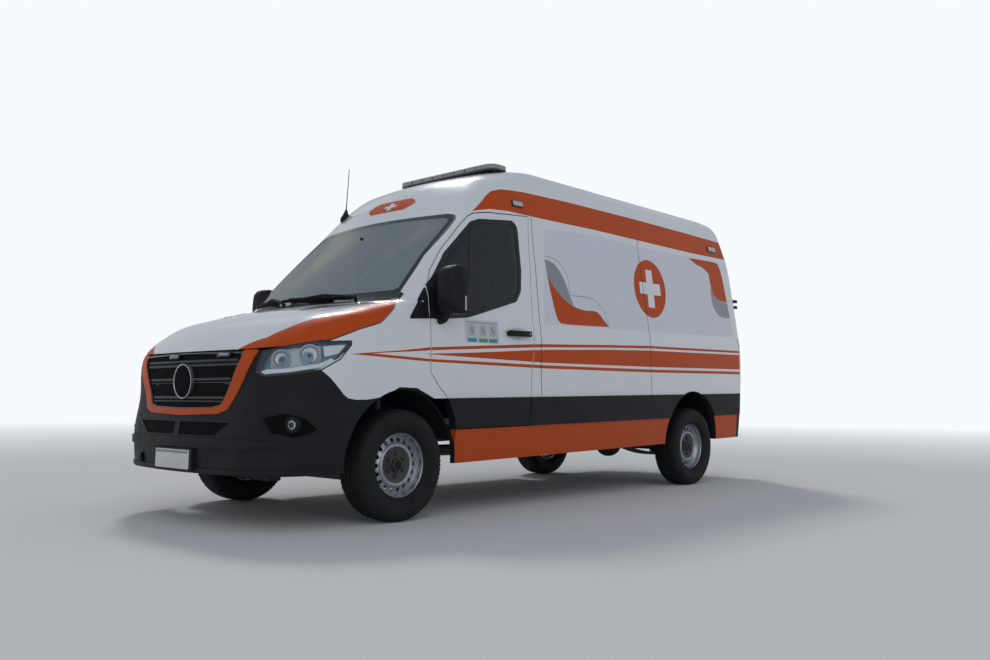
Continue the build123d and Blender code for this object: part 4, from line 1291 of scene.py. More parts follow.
def repeat_tree(kind):
    """A node tree that repeats its part along a ring or a row."""
    tree = bpy.data.node_groups.new(f"{kind}_of_parts", "GeometryNodeTree")
    for name, sort in REPEAT_INPUTS.items():
        tree.interface.new_socket(name=name, in_out="INPUT", socket_type="NodeSocket" + sort)
    tree.interface.new_socket(name="Parts", in_out="OUTPUT", socket_type="NodeSocketGeometry")
    new = tree.nodes.new
    given = new("NodeGroupInput").outputs
    instances = new("GeometryNodeInstanceOnPoints")
    realize = new("GeometryNodeRealizeInstances")
    paint = new("GeometryNodeSetMaterial")
    if kind == "ring":
        line = new("GeometryNodeMeshCircle")
        sources = {"Vertices": "Count", "Radius": "Radius"}
        share = new("ShaderNodeMath")
        share.operation = "DIVIDE"
        feed(tree, share.inputs[0], new("GeometryNodeInputIndex").outputs[0])
        feed(tree, share.inputs[1], given["Count"])
        spin = new("ShaderNodeCombineXYZ")
        feed(tree, spin.inputs["Z"], times(tree, share.outputs[0], 2 * math.pi))
        feed(tree, instances.inputs["Rotation"], spin.outputs[0])
    else:
        line = new("GeometryNodeMeshLine")
        sources = {"Count": "Count", "Start Location": "Start", "Offset": "Step"}
    for name, source in sources.items():
        feed(tree, line.inputs[name], given[source])
    feed(tree, instances.inputs["Points"], line.outputs[0])
    feed(tree, instances.inputs["Instance"], given["Part"])
    feed(tree, realize.inputs[0], instances.outputs[0])
    feed(tree, paint.inputs["Geometry"], realize.outputs[0])
    feed(tree, paint.inputs["Material"], given["Finish"])
    feed(tree, new("NodeGroupOutput").inputs[0], paint.outputs[0])
    return tree


def repeated(part, kind, finish_name, **inputs):
    """A part repeated by its tree, as one mesh part."""
    tree = bpy.data.node_groups.get(f"{kind}_of_parts") or repeat_tree(kind)
    data = bpy.data.meshes.new("repeated_part")
    part.to_mesh(data)
    part.free()
    holder = bpy.data.objects.new("repeated_part", data)
    bpy.context.scene.collection.objects.link(holder)
    modifier = holder.modifiers.new("repeat", "NODES")
    modifier.node_group = tree
    names = {item.name: item.identifier for item in tree.interface.items_tree if item.in_out == "INPUT"}
    for name, value in {"Finish": FINISHES[finish_name], **inputs}.items():
        modifier[names[name]] = value
    result = bpy.data.meshes.new_from_object(holder.evaluated_get(bpy.context.evaluated_depsgraph_get()))
    made = bmesh.new()
    made.from_mesh(result)
    bpy.data.objects.remove(holder)
    bpy.data.meshes.remove(result)
    return made


TYRE_RADIUS = 0.356
TYRE_HALF = 0.1175
TRACK_HALF = 0.852
AXLES = {"front": -1.940, "rear": 1.725}


def tyre_part():
    """A road tyre about Z: ribbed tread with cross grooves, ringed sidewalls and open beads."""
    half = TYRE_HALF
    crown = [(0.3555, 0.0), (0.3555, 0.013), (0.3485, 0.0145), (0.3485, 0.0215), (0.3553, 0.023),
             (0.3548, 0.048), (0.3478, 0.0495), (0.3478, 0.0565), (0.3540, 0.058), (0.3528, 0.077),
             (0.3495, 0.0785), (0.3495, 0.0815), (0.3515, 0.083), (0.3480, 0.094), (0.3410, 0.1035),
             (0.3330, 0.1095)]
    wall = [(0.3230, 0.1128), (0.3200, 0.1122), (0.3170, 0.1140), (0.3000, half), (0.2840, 0.1170),
            (0.2820, 0.1158), (0.2700, 0.1150), (0.2560, 0.1128), (0.2480, 0.1105), (0.2465, 0.1085),
            (0.2380, 0.1070), (0.2290, 0.1010), (0.2230, 0.0930), (0.2150, 0.0850), (0.2060, 0.0830),
            (0.2035, 0.0790), (0.2035, 0.0660), (0.2120, 0.0560)]
    outer = crown + wall
    profile = [(radius, -height) for radius, height in reversed(outer[1:])] + outer
    part = lathe(profile + profile[:1], 216)
    bmesh.ops.remove_doubles(part, verts=part.verts, dist=1e-6)
    turn_outward(part)
    for vert in part.verts:
        radius = math.hypot(vert.co.x, vert.co.y)
        place = abs(vert.co.z)
        turn = math.atan2(vert.co.y, vert.co.x) / (2 * math.pi) * 216
        lean = turn + (vert.co.z * 90 if place < 0.075 else 0)
        step = round(lean) % 3
        cut = 0.0
        if radius > 0.330 and place > 0.082 and step == 0:
            cut = 0.0065
        elif radius > 0.352 and 0.0225 < place < 0.078 and round(lean) % 6 == 0:
            cut = 0.0045
        elif radius > 0.3545 and place < 0.014 and round(lean) % 9 == 0:
            cut = 0.003
        if cut:
            vert.co.x *= (radius - cut) / radius
            vert.co.y *= (radius - cut) / radius
    return part


def pierced_disc(profile, holes, hole_circle, hole_radius, thickness):
    """A pressed disc about Z with a ring of round holes: its profile runs (radius, height) outwards."""
    part = bmesh.new()
    sector = 2 * math.pi / holes
    columns = 4
    sides = 16
    cache = {}

    def height_at(radius):
        """The disc's height at a radius."""
        for (r0, h0), (r1, h1) in zip(profile, profile[1:]):
            if r0 <= radius <= r1:
                return h0 + (h1 - h0) * (radius - r0) / (r1 - r0)
        return profile[-1][1] if radius > profile[-1][0] else profile[0][1]

    def vertex(radius, angle, lower):
        """A corner of the disc's front or back, made once."""
        key = (round(radius, 6), round(angle % (2 * math.pi), 5) % round(2 * math.pi, 5), lower)
        if key not in cache:
            gap = 0.002
            rise = (height_at(radius + gap) - height_at(radius - gap)) / (2 * gap)
            depth = thickness * lower / math.hypot(rise, 1)
            reach = radius + rise * depth
            place = (reach * math.cos(angle), reach * math.sin(angle), height_at(radius) - depth)
            cache[key] = part.verts.new(place)
        return cache[key]

    def fill_sector(hole, lower):
        """The part of the front or back that goes round one hole."""
        start = hole * sector
        middle = start + sector / 2
        angles = [start + sector * column / columns for column in range(columns + 1)]
        for ring in (inner_radii, outer_radii):
            for r0, r1 in zip(ring, ring[1:]):
                for a0, a1 in zip(angles, angles[1:]):
                    corners = ((r0, a0), (r0, a1), (r1, a1), (r1, a0))
                    part.faces.new([vertex(*corner, lower) for corner in corners])
        border = [(radius, angle) for radius in (inner_edge, outer_edge) for angle in angles]
        border += [(hole_circle, start), (hole_circle, start + sector)]
        rim = [(hole_circle + x, middle + y / hole_circle) for x, y in circle(0, 0, hole_radius, sides)]

        def bearing(point):
            """The direction of a point from the hole's middle."""
            return math.atan2((point[1] - middle) * hole_circle, point[0] - hole_circle) % (2 * math.pi)

        outside = max(border, key=bearing)
        within = max(rim, key=bearing)
        steps = [(bearing(point), 0, point) for point in border]
        steps += [(bearing(point), 1, point) for point in rim]
        for angle, inside, point in sorted(steps):
            corners = [vertex(*corner, lower) for corner in (outside, within, point)]
            if len(set(corners)) == 3:
                part.faces.new(corners)
            if inside:
                within = point
            else:
                outside = point

    inner_edge = hole_circle - hole_radius * 1.45
    outer_edge = hole_circle + hole_radius * 1.45
    inner_radii = [radius for radius, height in profile if radius < inner_edge - 1e-4] + [inner_edge]
    outer_radii = [outer_edge] + [radius for radius, height in profile if radius > outer_edge + 1e-4]
    for lower in (0, 1):
        for hole in range(holes):
            fill_sector(hole, lower)
    key_of = {vert: key for key, vert in cache.items()}
    for edge in [edge for edge in part.edges if edge.is_boundary]:
        a, b = edge.verts
        if key_of[a][2] == key_of[b][2] == 0:
            part.faces.new((b, a, cache[(*key_of[a][:2], 1)], cache[(*key_of[b][:2], 1)]))
    return turn_outward(part)


# Profiles of a steel wheel in (radius, height): its outer face is up
RIM_PROFILE = [
    (0.221, 0.0870), (0.2215, 0.0850), (0.2205, 0.0790), (0.2090, 0.0770), (0.2040, 0.0700),
    (0.2030, 0.0500), (0.1960, 0.0300), (0.1830, 0.0150), (0.1830, -0.0200), (0.1960, -0.0380),
    (0.2030, -0.0600), (0.2040, -0.0740), (0.2190, -0.0790), (0.2210, -0.0860), (0.2170, -0.0860),
    (0.2120, -0.0800), (0.2000, -0.0760), (0.1980, -0.0600), (0.1900, -0.0420), (0.1780, -0.0240),
    (0.1780, 0.0180), (0.1910, 0.0340), (0.1985, 0.0520), (0.1995, 0.0720), (0.2060, 0.0815),
    (0.2140, 0.0838), (0.2180, 0.0875),
]
DISC_PROFILE = [(0.112, 0.040), (0.116, 0.0475), (0.124, 0.0520), (0.131, 0.0520), (0.137, 0.0480),
                (0.142, 0.0385), (0.175, 0.0250), (0.184, 0.0225)]
HUB_PROFILE = [(0.0, 0.0640), (0.036, 0.0640), (0.042, 0.0610), (0.043, 0.0440), (0.050, 0.0400),
               (0.098, 0.0395), (0.108, 0.0440), (0.1145, 0.0440), (0.1150, 0.0330), (0.0, 0.0330)]
CAP_PROFILE = [(0.0, 0.0675), (0.020, 0.0672), (0.029, 0.0655), (0.031, 0.0635), (0.0, 0.0635)]
NUT_PROFILE = [(0.0, 0.0570), (0.0075, 0.0565), (0.0115, 0.0530), (0.0125, 0.0430), (0.0150, 0.0415),
               (0.0150, 0.0390), (0.0, 0.0390)]
BRAKE_PROFILE = [(0.0, -0.036), (0.145, -0.036), (0.150, -0.038), (0.150, -0.060), (0.145, -0.062),
                 (0.0, -0.062)]
HAT_PROFILE = [(0.0, 0.034), (0.082, 0.034), (0.086, 0.030), (0.086, -0.036), (0.0, -0.036)]
DISC_THICKNESS = 0.005
BOLT_CIRCLE = 0.070


def rim_parts(piece, place, settings):
    """A pressed steel wheel: rim, pierced disc, hub, bolts, cap and brake disc."""
    disc = pierced_disc(DISC_PROFILE, settings.holes, settings.hole_circle, settings.hole_radius,
                        DISC_THICKNESS)
    nuts = repeated(lathe(NUT_PROFILE, 6), "ring", "hub_black", Count=settings.bolts, Radius=BOLT_CIRCLE)
    for part, finish_name in (
        (lathe(RIM_PROFILE + RIM_PROFILE[:1], 96), "silver_steel"), (disc, "silver_steel"),
        (lathe(HUB_PROFILE, 64), "hub_black"), (lathe(CAP_PROFILE), "soft_trim"), (nuts, "hub_black"),
        (lathe(BRAKE_PROFILE, 64), "disc_steel"), (lathe(HAT_PROFILE), "cast_metal"),
    ):
        piece.add(part, finish_name, place)


class Wheels(bpy.types.Operator):
    """Four steel road wheels with their tyres"""

    bl_idname = "ambulance.wheels"
    bl_label = "Wheels"

    def execute(self, context):
        """Make each tyre and rim on its own body."""
        settings = context.scene.ambulance_wheels
        for end, y in AXLES.items():
            for hand, side in (("left", 1), ("right", -1)):
                place = Matrix.Translation((side * TRACK_HALF, y, TYRE_RADIUS))
                place = place @ Matrix.Rotation(side * math.pi / 2, 4, "Y")
                body = f"{end}_wheel_{hand}"
                tyre = Piece(f"{end}_{hand}_road_tyre", False)
                tyre.add(tyre_part(), "tyre_rubber", place)
                tyre.close(body, "tyre_rubber", (f"{end}_{hand}_tyre",), 28)
                rim = Piece(f"{end}_{hand}_steel_wheel", False)
                rim_parts(rim, place, settings)
                rim.close(body, "silver_steel", (f"{end}_{hand}_rim",), 28)
        return {"FINISHED"}


def handed(name, parts, body, slot_name="dark_plastic", replaces=()):
    """A piece on each side of the vehicle, its parts drawn for the left and mirrored for the right."""
    for hand in ("left", "right"):
        piece = Piece(f"{name}_{hand}")
        for part, finish_name in parts:
            piece.add(part.copy() if hand == "left" else mirrored(part), finish_name)
        piece.close(body.format(hand), slot_name, [node.format(hand) for node in replaces])


DOOR_WINDOW = [(-1688, 1309), (-1337, 1341), (-818, 1485), (-765, 1560), (-742, 1713), (-751, 2040),
               (-790, 2072), (-1150, 2035), (-1222, 2008), (-1310, 1930), (-1500, 1755), (-1638, 1580),
               (-1672, 1480)]
WINDSCREEN = [(0, 1404), (600, 1411), (790, 1424), (828, 1442), (789, 1756), (770, 2050), (742, 2088),
              (680, 2103), (0, 2110)]
CLEAR_SCREEN = [(0, 1475), (600, 1482), (765, 1492), (792, 1510), (757, 1756), (738, 2030), (715, 2058),
                (660, 2070), (0, 2078)]
REAR_WINDOW = [(130, 1400), (690, 1400), (672, 1880), (640, 1925), (150, 1925), (130, 1900)]
WINDOW_CORNER = [(-1708, 1300), (-1660, 1305), (-1610, 1330), (-1560, 1640), (-1640, 1595), (-1708, 1529)]
MIRROR_PLACE = Vector((1.070, -1.620, 1.490))
MIRROR_OUTLINE = [(-99, -164), (101, -164), (99, 30), (78, 165), (-58, 165), (-97, 30)]
# The mirror housing's depth from front to rear, and its size there
MIRROR_ROWS = ((-0.069, 0.50), (-0.064, 0.66), (-0.052, 0.80), (-0.030, 0.92), (0.0, 0.985), (0.035, 1.0),
               (0.062, 0.985), (0.069, 0.955), (0.069, 0.91), (0.056, 0.90))
MIRROR_ARM = ((-0.135, -0.005, -0.202), (-0.080, -0.003, -0.200), (-0.045, 0, -0.180), (-0.031, 0, -0.120))


def mirror_head():
    """The mirror's housing: a rounded block, narrower at its top and full at its rear rim."""
    outline = rounded(metres(MIRROR_OUTLINE), 0.045, 5)
    part = loft([[(x * size, y, z * size) for x, z in outline] for y, size in MIRROR_ROWS])
    return placed(part, Matrix.Translation(MIRROR_PLACE))


def mirror_glass(low, high):
    """A pane of the mirror from one height to another."""
    lean = max(high, 0)
    outline = rounded([(-0.082, low), (0.084, low), (0.084 - lean * 0.12, high),
                       (-0.082 + lean * 0.2, high)], 0.02)
    return placed(loft([[(x, y, z) for x, z in outline] for y in (0.050, 0.061)]),
                  Matrix.Translation(MIRROR_PLACE))


def window_rubber(view, window, radius):
    """The rubber round a window, with the radius of its inner corners."""
    inner = rounded(grow(window, -0.018), radius, 5)
    return raised(view, rounded(grow(window, 0.014), 0.05, 5), 0.003, 0.006, 0.0015, 0.04, [inner])


class DoorFittings(bpy.types.Operator):
    """Window rubbers, mirrors, handles and labels of the doors"""

    bl_idname = "ambulance.door_fittings"
    bl_label = "Door fittings"

    def execute(self, context):
        """Fit out the cab doors, the side door and the rear doors."""
        grip = on_skin("side", -0.828, 1.2335)
        lock = lathe([(0.0, 0.043), (0.006, 0.0425), (0.008, 0.039), (0.0, 0.039)], 20)
        handed("door_fittings", (
            (window_rubber("side", metres(DOOR_WINDOW), 0.06), "seal_rubber"),
            (patch("side", ribbon([(-1.331, 1.375), (-1.246, 1.985)], 0.024), 0.003, 0.006, 0.05),
             "seal_rubber"),
            (patch("side", metres(WINDOW_CORNER), 0.0035, 0.006), "dark_plastic"),
            # The handle's cup is body-coloured in truth; this pale grey plate is painted shade standing in for
            # its shaded recess
            (raised("side", rectangle(-0.893, -0.776, 1.188, 1.279, 0.03), 0.002, 0.006, 0.001),
             "pale_label_and_painted_shade"),
            (placed(brick((-0.124, -0.021, 0.016), (0.124, 0.022, 0.040), 0.011, 3), grip), "dark_plastic"),
            (placed(brick((-0.122, -0.018, -0.002), (-0.075, 0.018, 0.026), 0.006), grip), "dark_plastic"),
            (placed(brick((0.075, -0.018, -0.002), (0.122, 0.018, 0.026), 0.006), grip), "dark_plastic"),
            (placed(lock, grip @ Matrix.Translation((0.100, 0, 0))), "silver_trim"),
        ), "front_door_{}")
        corner = rounded([(-1.899, 1.289), (-1.716, 1.300), (-1.716, 1.520)], 0.010)
        handed("corner_trim", ((raised("side", corner, 0.003, 0.006, 0.0015), "dark_plastic"),), "body")
        arm = curve([MIRROR_PLACE + Vector(point) for point in MIRROR_ARM], 5)
        handed("door_mirror", (
            (mirror_head(), "dark_plastic"), (mirror_glass(-0.138, -0.062), "reflector"),
            (mirror_glass(-0.054, 0.140), "reflector"), (tube(arm, 0.024, 16), "dark_plastic"),
            (brick((1.1665, -1.585, 1.350), (1.1715, -1.570, 1.445), 0.002), "clear_lens"),
        ), "front_door_{}", "dark_plastic", ("mirror_{}",))
        label = Piece("door_label")
        label.add(patch("side", rectangle(-1.384, -1.037, 1.155, 1.315, 0.008), 0.0008, 0.002), "pale_label_and_painted_shade")
        label.add(patch("side", rectangle(-1.370, -1.050, 1.292, 1.298), 0.0014, 0.001), "label_grey")
        for y, finish_name in ((-1.315, "label_blue"), (-1.203, "label_green"), (-1.100, "label_blue")):
            block = rectangle(y - 0.036, y + 0.036, 1.203, 1.282, 0.006)
            stroke = ribbon([(y - 0.010, 1.262), (y + 0.010, 1.222)], 0.016)
            line = rectangle(y - 0.044, y + 0.044, 1.160, 1.186, 0.004)
            label.add(patch("side", block, 0.0012, 0.001), "film_grey")
            label.add(patch("side", stroke, 0.0018, 0.001), "label_grey")
            label.add(patch("side", line, 0.0014, 0.001), finish_name)
        label.close("front_door_left")
        side = Piece("side_door_fittings")
        rail = rectangle(0.80, 2.30, 1.232, 1.262, 0.010)
        side.add(raised("other", rail, 0.006, 0.004, 0.003, 0.10), "seal_rubber")
        grip = on_skin("other", -0.40, 1.2335)
        side.add(brick((-0.100, -0.020, 0.014), (0.100, 0.020, 0.038), 0.010, 3), "dark_plastic", grip)
        for x in (-0.080, 0.080):
            foot = brick((x - 0.018, -0.016, -0.002), (x + 0.018, 0.016, 0.020), 0.005)
            side.add(foot, "dark_plastic", grip)
        side.close("body")
        fittings = [(window_rubber("tail", metres(REAR_WINDOW), 0.05), "seal_rubber")]
        for z in (0.90, 1.32, 2.03):
            cover = brick((-0.014, -0.045, -0.004), (0.040, 0.045, 0.012), 0.004)
            fittings.append((placed(cover, on_skin("tail", 0.745, z)), "dark_plastic"))
        handed("rear_door_fittings", fittings, "rear_door_{}")
        catch = Piece("rear_catch")
        catch.add(raised("tail", rectangle(0.030, 0.290, 1.225, 1.300, 0.02), 0.012, 0.006, 0.008, 0.04),
                  "dark_plastic")
        # The grip opening is a near-black strip: painted shade
        catch.add(raised("tail", rectangle(0.050, 0.270, 1.238, 1.262, 0.01), 0.014, 0.0, 0.001, 0.04),
                  "black_and_painted_shade")
        plate = on_skin("tail", 0.36, 0.868)
        catch.add(prism(rectangle(-0.215, 0.215, -0.070, 0.070, 0.012), -0.010, 0.008, 0.003),
                  "dark_plastic", plate)
        catch.add(prism(rectangle(-0.200, 0.200, -0.058, 0.058, 0.010), 0.007, 0.0105, 0.001),
                  "plate_white", plate)
        catch.close("rear_door_left")
        return {"FINISHED"}


class RoofFittings(bpy.types.Operator):
    """Light bar, antenna, marker lamps and stop lamp"""

    bl_idname = "ambulance.roof_fittings"
    bl_label = "Roof fittings"

    def execute(self, context):
        """Build what stands on the roof and its sides."""
        shape = rounded([(-0.545, -0.621), (0.545, -0.621), (0.545, -0.401), (-0.545, -0.401)], 0.088, 8)
        bar = Piece("light_bar_unit")
        bar.add(prism(shape, 2.579, 2.586, 0.003), "grey_trim")
        bar.add(prism(grow(shape, -0.0015), 2.5855, 2.6125), "bar_core")
        bar.add(prism(grow(shape, -0.0005), 2.6120, 2.619, 0.0025), "clear_lens")
        for index in range(-4, 5):
            x = index * 0.124
            front = -0.60 if abs(index) == 4 else -0.6215
            bar.add(brick((x - 0.003, front, 2.588), (x + 0.003, -0.4, 2.6130), 0.0), "dark_plastic")
        for x in (-0.42, 0.42):
            bar.add(brick((x - 0.030, -0.565, 2.548), (x + 0.030, -0.455, 2.5795), 0.004), "dark_plastic")
        bar.close("body", "dark_plastic", ("light_bar",))
        aerial = Piece("roof_aerial")
        foot = Matrix.Translation((-0.665, -1.105, 2.250)) @ Matrix.Rotation(math.radians(-5), 4, "X")
        cone = [(0.0, -0.020), (0.043, -0.020), (0.043, 0.006), (0.030, 0.032), (0.016, 0.062),
                (0.010, 0.082), (0.0, 0.086)]
        aerial.add(lathe(cone, 32), "dark_plastic", foot)
        rod = [(0, 0, height) for height in (0.07, 0.10, 0.16, 0.434)]
        aerial.add(tube(rod, [0.006, 0.0045, 0.0036, 0.003]), "black_and_painted_shade", foot)
        aerial.close("body", "dark_plastic", ("antenna",))
        markers = []
        for sides in ((-0.756, -0.630, 2.205, 2.256), (2.242, 2.396, 2.190, 2.248)):
            outline = rectangle(*sides, 0.012)
            markers.append((raised("side", outline, 0.008, 0.004, 0.003), "gloss_black"))
            markers.append((raised("side", grow(outline, -0.009), 0.013, 0.0, 0.003), "clear_lens"))
        handed("marker_lamps", markers, "body", "lamp_glass")
        stop = Piece("high_stop_lamp")
        stop.add(raised("tail", rectangle(-0.170, 0.170, 2.402, 2.440, 0.012), 0.010, 0.004, 0.003),
                 "gloss_black")
        stop.add(raised("tail", rectangle(-0.158, 0.158, 2.410, 2.432, 0.008), 0.014, 0.0, 0.002), "red_lens")
        stop.close("body", "red_lens")
        return {"FINISHED"}


class ScreenFittings(bpy.types.Operator):
    """Windscreen border, wipers, inside mirror and the vents in the hood"""

    bl_idname = "ambulance.screen_fittings"
    bl_label = "Windscreen fittings"

    def execute(self, context):
        """Fit out the windscreen and the hood."""
        border = Piece("screen_border")
        outer = grow(both_sides(WINDSCREEN), -0.004)
        border.add(patch("front", outer, 0.0008, 0.002, 0.04, [both_sides(CLEAR_SCREEN)]), "frit_black")
        border.close("body", "window_glass", follow=True)
        wipers = Piece("wipers")
        for tip, heel, pivot in (((-0.300, 1.476), (0.500, 1.450), (0.560, 1.425)),
                                 ((-0.790, 1.470), (-0.200, 1.476), (-0.140, 1.428))):
            def on_glass(share, lift):
                """A point along the blade, this far off the glass."""
                place, normal = skin.hit("front", *Vector(tip).lerp(Vector(heel), share))
                return place + normal * lift

            wipers.add(tube([on_glass(step / 10, 0.006) for step in range(11)], 0.0055, 8), "seal_rubber")
            wipers.add(tube([on_glass(0.2 + step * 0.06, 0.016) for step in range(11)], 0.0045, 8),
                       "dark_plastic")
            place, normal = skin.hit("front", *pivot)
            arm = [place + normal * 0.004, place + normal * 0.030, on_glass(0.72, 0.032),
                   on_glass(0.5, 0.018)]
            wipers.add(tube(arm, [0.014, 0.013, 0.008, 0.005]), "dark_plastic")
        wipers.close("body")
        inside = Piece("inside_mirror")
        inside.add(brick((-0.115, -1.440, 1.900), (0.115, -1.415, 1.965), 0.012, 3), "soft_trim")
        stem = [(0, -1.440, 1.945), (0, -1.465, 1.965), (0, -1.488, 1.962)]
        inside.add(tube(stem, [0.008, 0.009, 0.016], 12), "soft_trim")
        inside.close("body")
        vents = Piece("hood_vents")
        inner = Vector((0.450, -2.360)), Vector((0.435, -2.197))
        outer = Vector((0.748, -2.050)), Vector((0.699, -2.106))
        for index in range(4):
            a, b = [first.lerp(last, index / 3) for first, last in (inner, outer)]
            line = []
            for step in range(9):
                bow = Vector((0, -0.02 * math.sin(step / 8 * math.pi)))
                line.append(tuple(a.lerp(b, step / 8) + bow))
            vents.both(raised("top", ribbon(line, 0.010), 0.0025, 0.003, 0.001, 0.04), "dark_plastic")
        vents.close("hood")
        return {"FINISHED"}


SEWN_WIDTH = 0.011
DRAWN_IN = 0.045
ROUNDNESS = 0.94


def cushion(width, length, height, channels=(), along=()):
    """A padded form about the origin: crowned, drawn in between its corners, with sewn channels on top."""
    part = bmesh.new()
    bmesh.ops.create_cube(part, size=2)
    bmesh.ops.subdivide_edges(part, edges=part.edges[:], cuts=19, use_grid_fill=True)
    for vert in part.verts:
        u, v, w = vert.co
        crown = (1 - abs(u) ** 5) * (1 - abs(v) ** 5)
        dent = sum(math.exp(-((v * length / 2 - place) / SEWN_WIDTH) ** 2) for place in channels)
        dent += sum(math.exp(-((u * width / 2 - place) / SEWN_WIDTH) ** 2) for place in along)
        edge = max(abs(u), abs(v)) ** 6
        puff = 0.70 + 0.30 * crown - 0.10 * edge - min(dent, 1.0) * 0.16 * (w > 0) * (1 - edge)
        reach = []
        for value, other, size in ((u, v, width), (v, u, length)):
            drawn = 1 - DRAWN_IN * (1 - other * other) * abs(value)
            bulge = 1 - 0.22 * abs(w) ** 3 * (1 if abs(value) > 0.7 else value * value)
            reach.append(math.copysign(abs(value) ** ROUNDNESS, value) * size / 2 * drawn * bulge)
        vert.co = (*reach, math.copysign(abs(w) ** ROUNDNESS, w) * height / 2 * puff)
    for turn in range(2):
        bmesh.ops.smooth_vert(part, verts=part.verts, factor=0.5, use_axis_x=True, use_axis_y=True,
                              use_axis_z=True)
    return part


SEATS = (("driver", 0.430, 0.480), ("passenger", -0.330, 0.760))


class Seats(bpy.types.Operator):
    """The cab seats, a driver's seat and a double one, with padded cushions"""

    bl_idname = "ambulance.seats"
    bl_label = "Cab seats"

    def execute(self, context):
        """Build the plinths, shells, cushions and head restraints."""
        shells = Piece("seat_shells")
        upright = Matrix.Rotation(math.radians(90), 4, "X")
        for name, x, width in SEATS:
            half = width / 2
            plinth = brick((x - half + 0.02, -1.225, 0.643), (x + half - 0.02, -0.825, 0.925), 0.015, 3)
            shells.add(plinth, "grey_trim")
            back = Matrix.Translation((x, -0.800, 1.080)) @ Matrix.Rotation(math.radians(-12), 4, "X")
            shells.add(brick((-half + 0.03, 0.022, -0.04), (half - 0.03, 0.058, 0.575), 0.012, 3),
                       "soft_trim", back)
            places = (0.0,) if name == "driver" else (-0.19, 0.19)
            seat = Piece(f"{name}_seat_cushion")
            form = cushion(width - 0.01, 0.480, 0.150, (-0.10, 0.10), (0.0,))
            seat.add(form, "seat_fabric", Matrix.Translation((x, -1.035, 1.002)))
            seat.close("body", "seat_fabric", (), 60)
            pad = Piece(f"{name}_seat_back")
            form = cushion(width - 0.02, 0.590, 0.085, (-0.16, 0.02, 0.18),
                           () if len(places) == 1 else (0.0,))
            pad.add(form, "seat_fabric", back @ Matrix.Translation((0, -0.020, 0.285)) @ upright)
            pad.close("body", "seat_fabric", (), 60)
            for number, across in enumerate(places):
                head = Piece(f"{name}_head_pad_{number + 1}")
                place = back @ Matrix.Translation((across, 0, 0.698)) @ upright
                head.add(cushion(0.250, 0.170, 0.088), "seat_fabric", place)
                head.close("body", "seat_fabric", (), 60)
                for post in (across - 0.045, across + 0.045):
                    shells.add(tube([(post, 0.008, 0.55), (post, 0.008, 0.64)], 0.006), "silver_trim", back)
        shells.close("body", "seat_fabric", ("cab_seats",))
        dash = Piece("dashboard_fittings")
        hood = rounded([(-0.19, 1.300), (0.19, 1.300), (0.15, 1.405), (-0.15, 1.405)], 0.05, 5)
        dials = rounded([(-0.15, 1.315), (0.15, 1.315), (0.13, 1.388), (-0.13, 1.388)], 0.03, 5)
        for outline, rows, finish_name in (
            (hood, ((-1.640, 0.9), (-1.500, 1.0), (-1.490, 0.97)), "soft_trim"),
            (dials, ((-1.494, 1.0), (-1.487, 1.0)), "gloss_black"),
        ):
            dash.add(loft([[(0.420 + x * size, y, z) for x, z in outline] for y, size in rows]), finish_name)
        dash.add(brick((-0.130, -1.500, 1.180), (0.130, -1.468, 1.330), 0.010), "soft_trim")
        dash.add(brick((-0.110, -1.470, 1.200), (0.110, -1.464, 1.315)), "gloss_black")
        for x in (-0.700, -0.210, 0.210, 0.700):
            dash.add(brick((x - 0.055, -1.496, 1.235), (x + 0.055, -1.466, 1.300), 0.008), "grey_trim")
            slat = brick((-0.045, -0.003, -0.002), (0.045, 0.003, 0.002), 0.0005, 1)
            slats = repeated(slat, "row", "black_and_painted_shade", Count=5, Start=(x, -1.465, 1.246), Step=(0, 0, 0.011))
            dash.add(slats, "black_and_painted_shade")
        dash.close("body")
        return {"FINISHED"}


CAMERA_PLACE = (5.2056, -5.8309, 0.7691)
CAMERA_YAW = math.radians(41.75)
CAMERA_PITCH = math.radians(4.49)
CAMERA_ROLL = math.radians(0.41)
FAR_WHITE = (0.93, 0.96, 1.0, 1)
SKY_LOW = (0.95, 0.97, 1.0, 1)
SKY_HIGH = (0.44, 0.53, 0.65, 1)
CLOUD_WHITE = (1.0, 1.0, 1.0, 1)


def floor_material(colour):
    """A matt floor that the camera sees turn into the background with distance."""
    material = bpy.data.materials.new("floor_pale")
    material.use_nodes = True
    tree = material.node_tree
    shader = tree.nodes["Principled BSDF"]
    shader.inputs["Base Color"].default_value = (*colour, 1)
    shader.inputs["Roughness"].default_value = 0.9
    shader.inputs["Specular IOR Level"].default_value = 0.1
    reach = tree.nodes.new("ShaderNodeVectorMath")
    reach.operation = "LENGTH"
    tree.links.new(tree.nodes.new("ShaderNodeTexCoord").outputs["Object"], reach.inputs[0])
    seen = tree.nodes.new("ShaderNodeLightPath").outputs["Is Camera Ray"]
    glow = tree.nodes.new("ShaderNodeEmission")
    glow.inputs["Color"].default_value = FAR_WHITE
    blend = tree.nodes.new("ShaderNodeMixShader")
    tree.links.new(times(tree, spread(tree, reach.outputs["Value"], 6.0, 24.0, 0.0, 1.0), seen),
                   blend.inputs["Fac"])
    tree.links.new(shader.outputs[0], blend.inputs[1])
    tree.links.new(glow.outputs[0], blend.inputs[2])
    tree.links.new(blend.outputs[0], tree.nodes["Material Output"].inputs["Surface"])
    return material


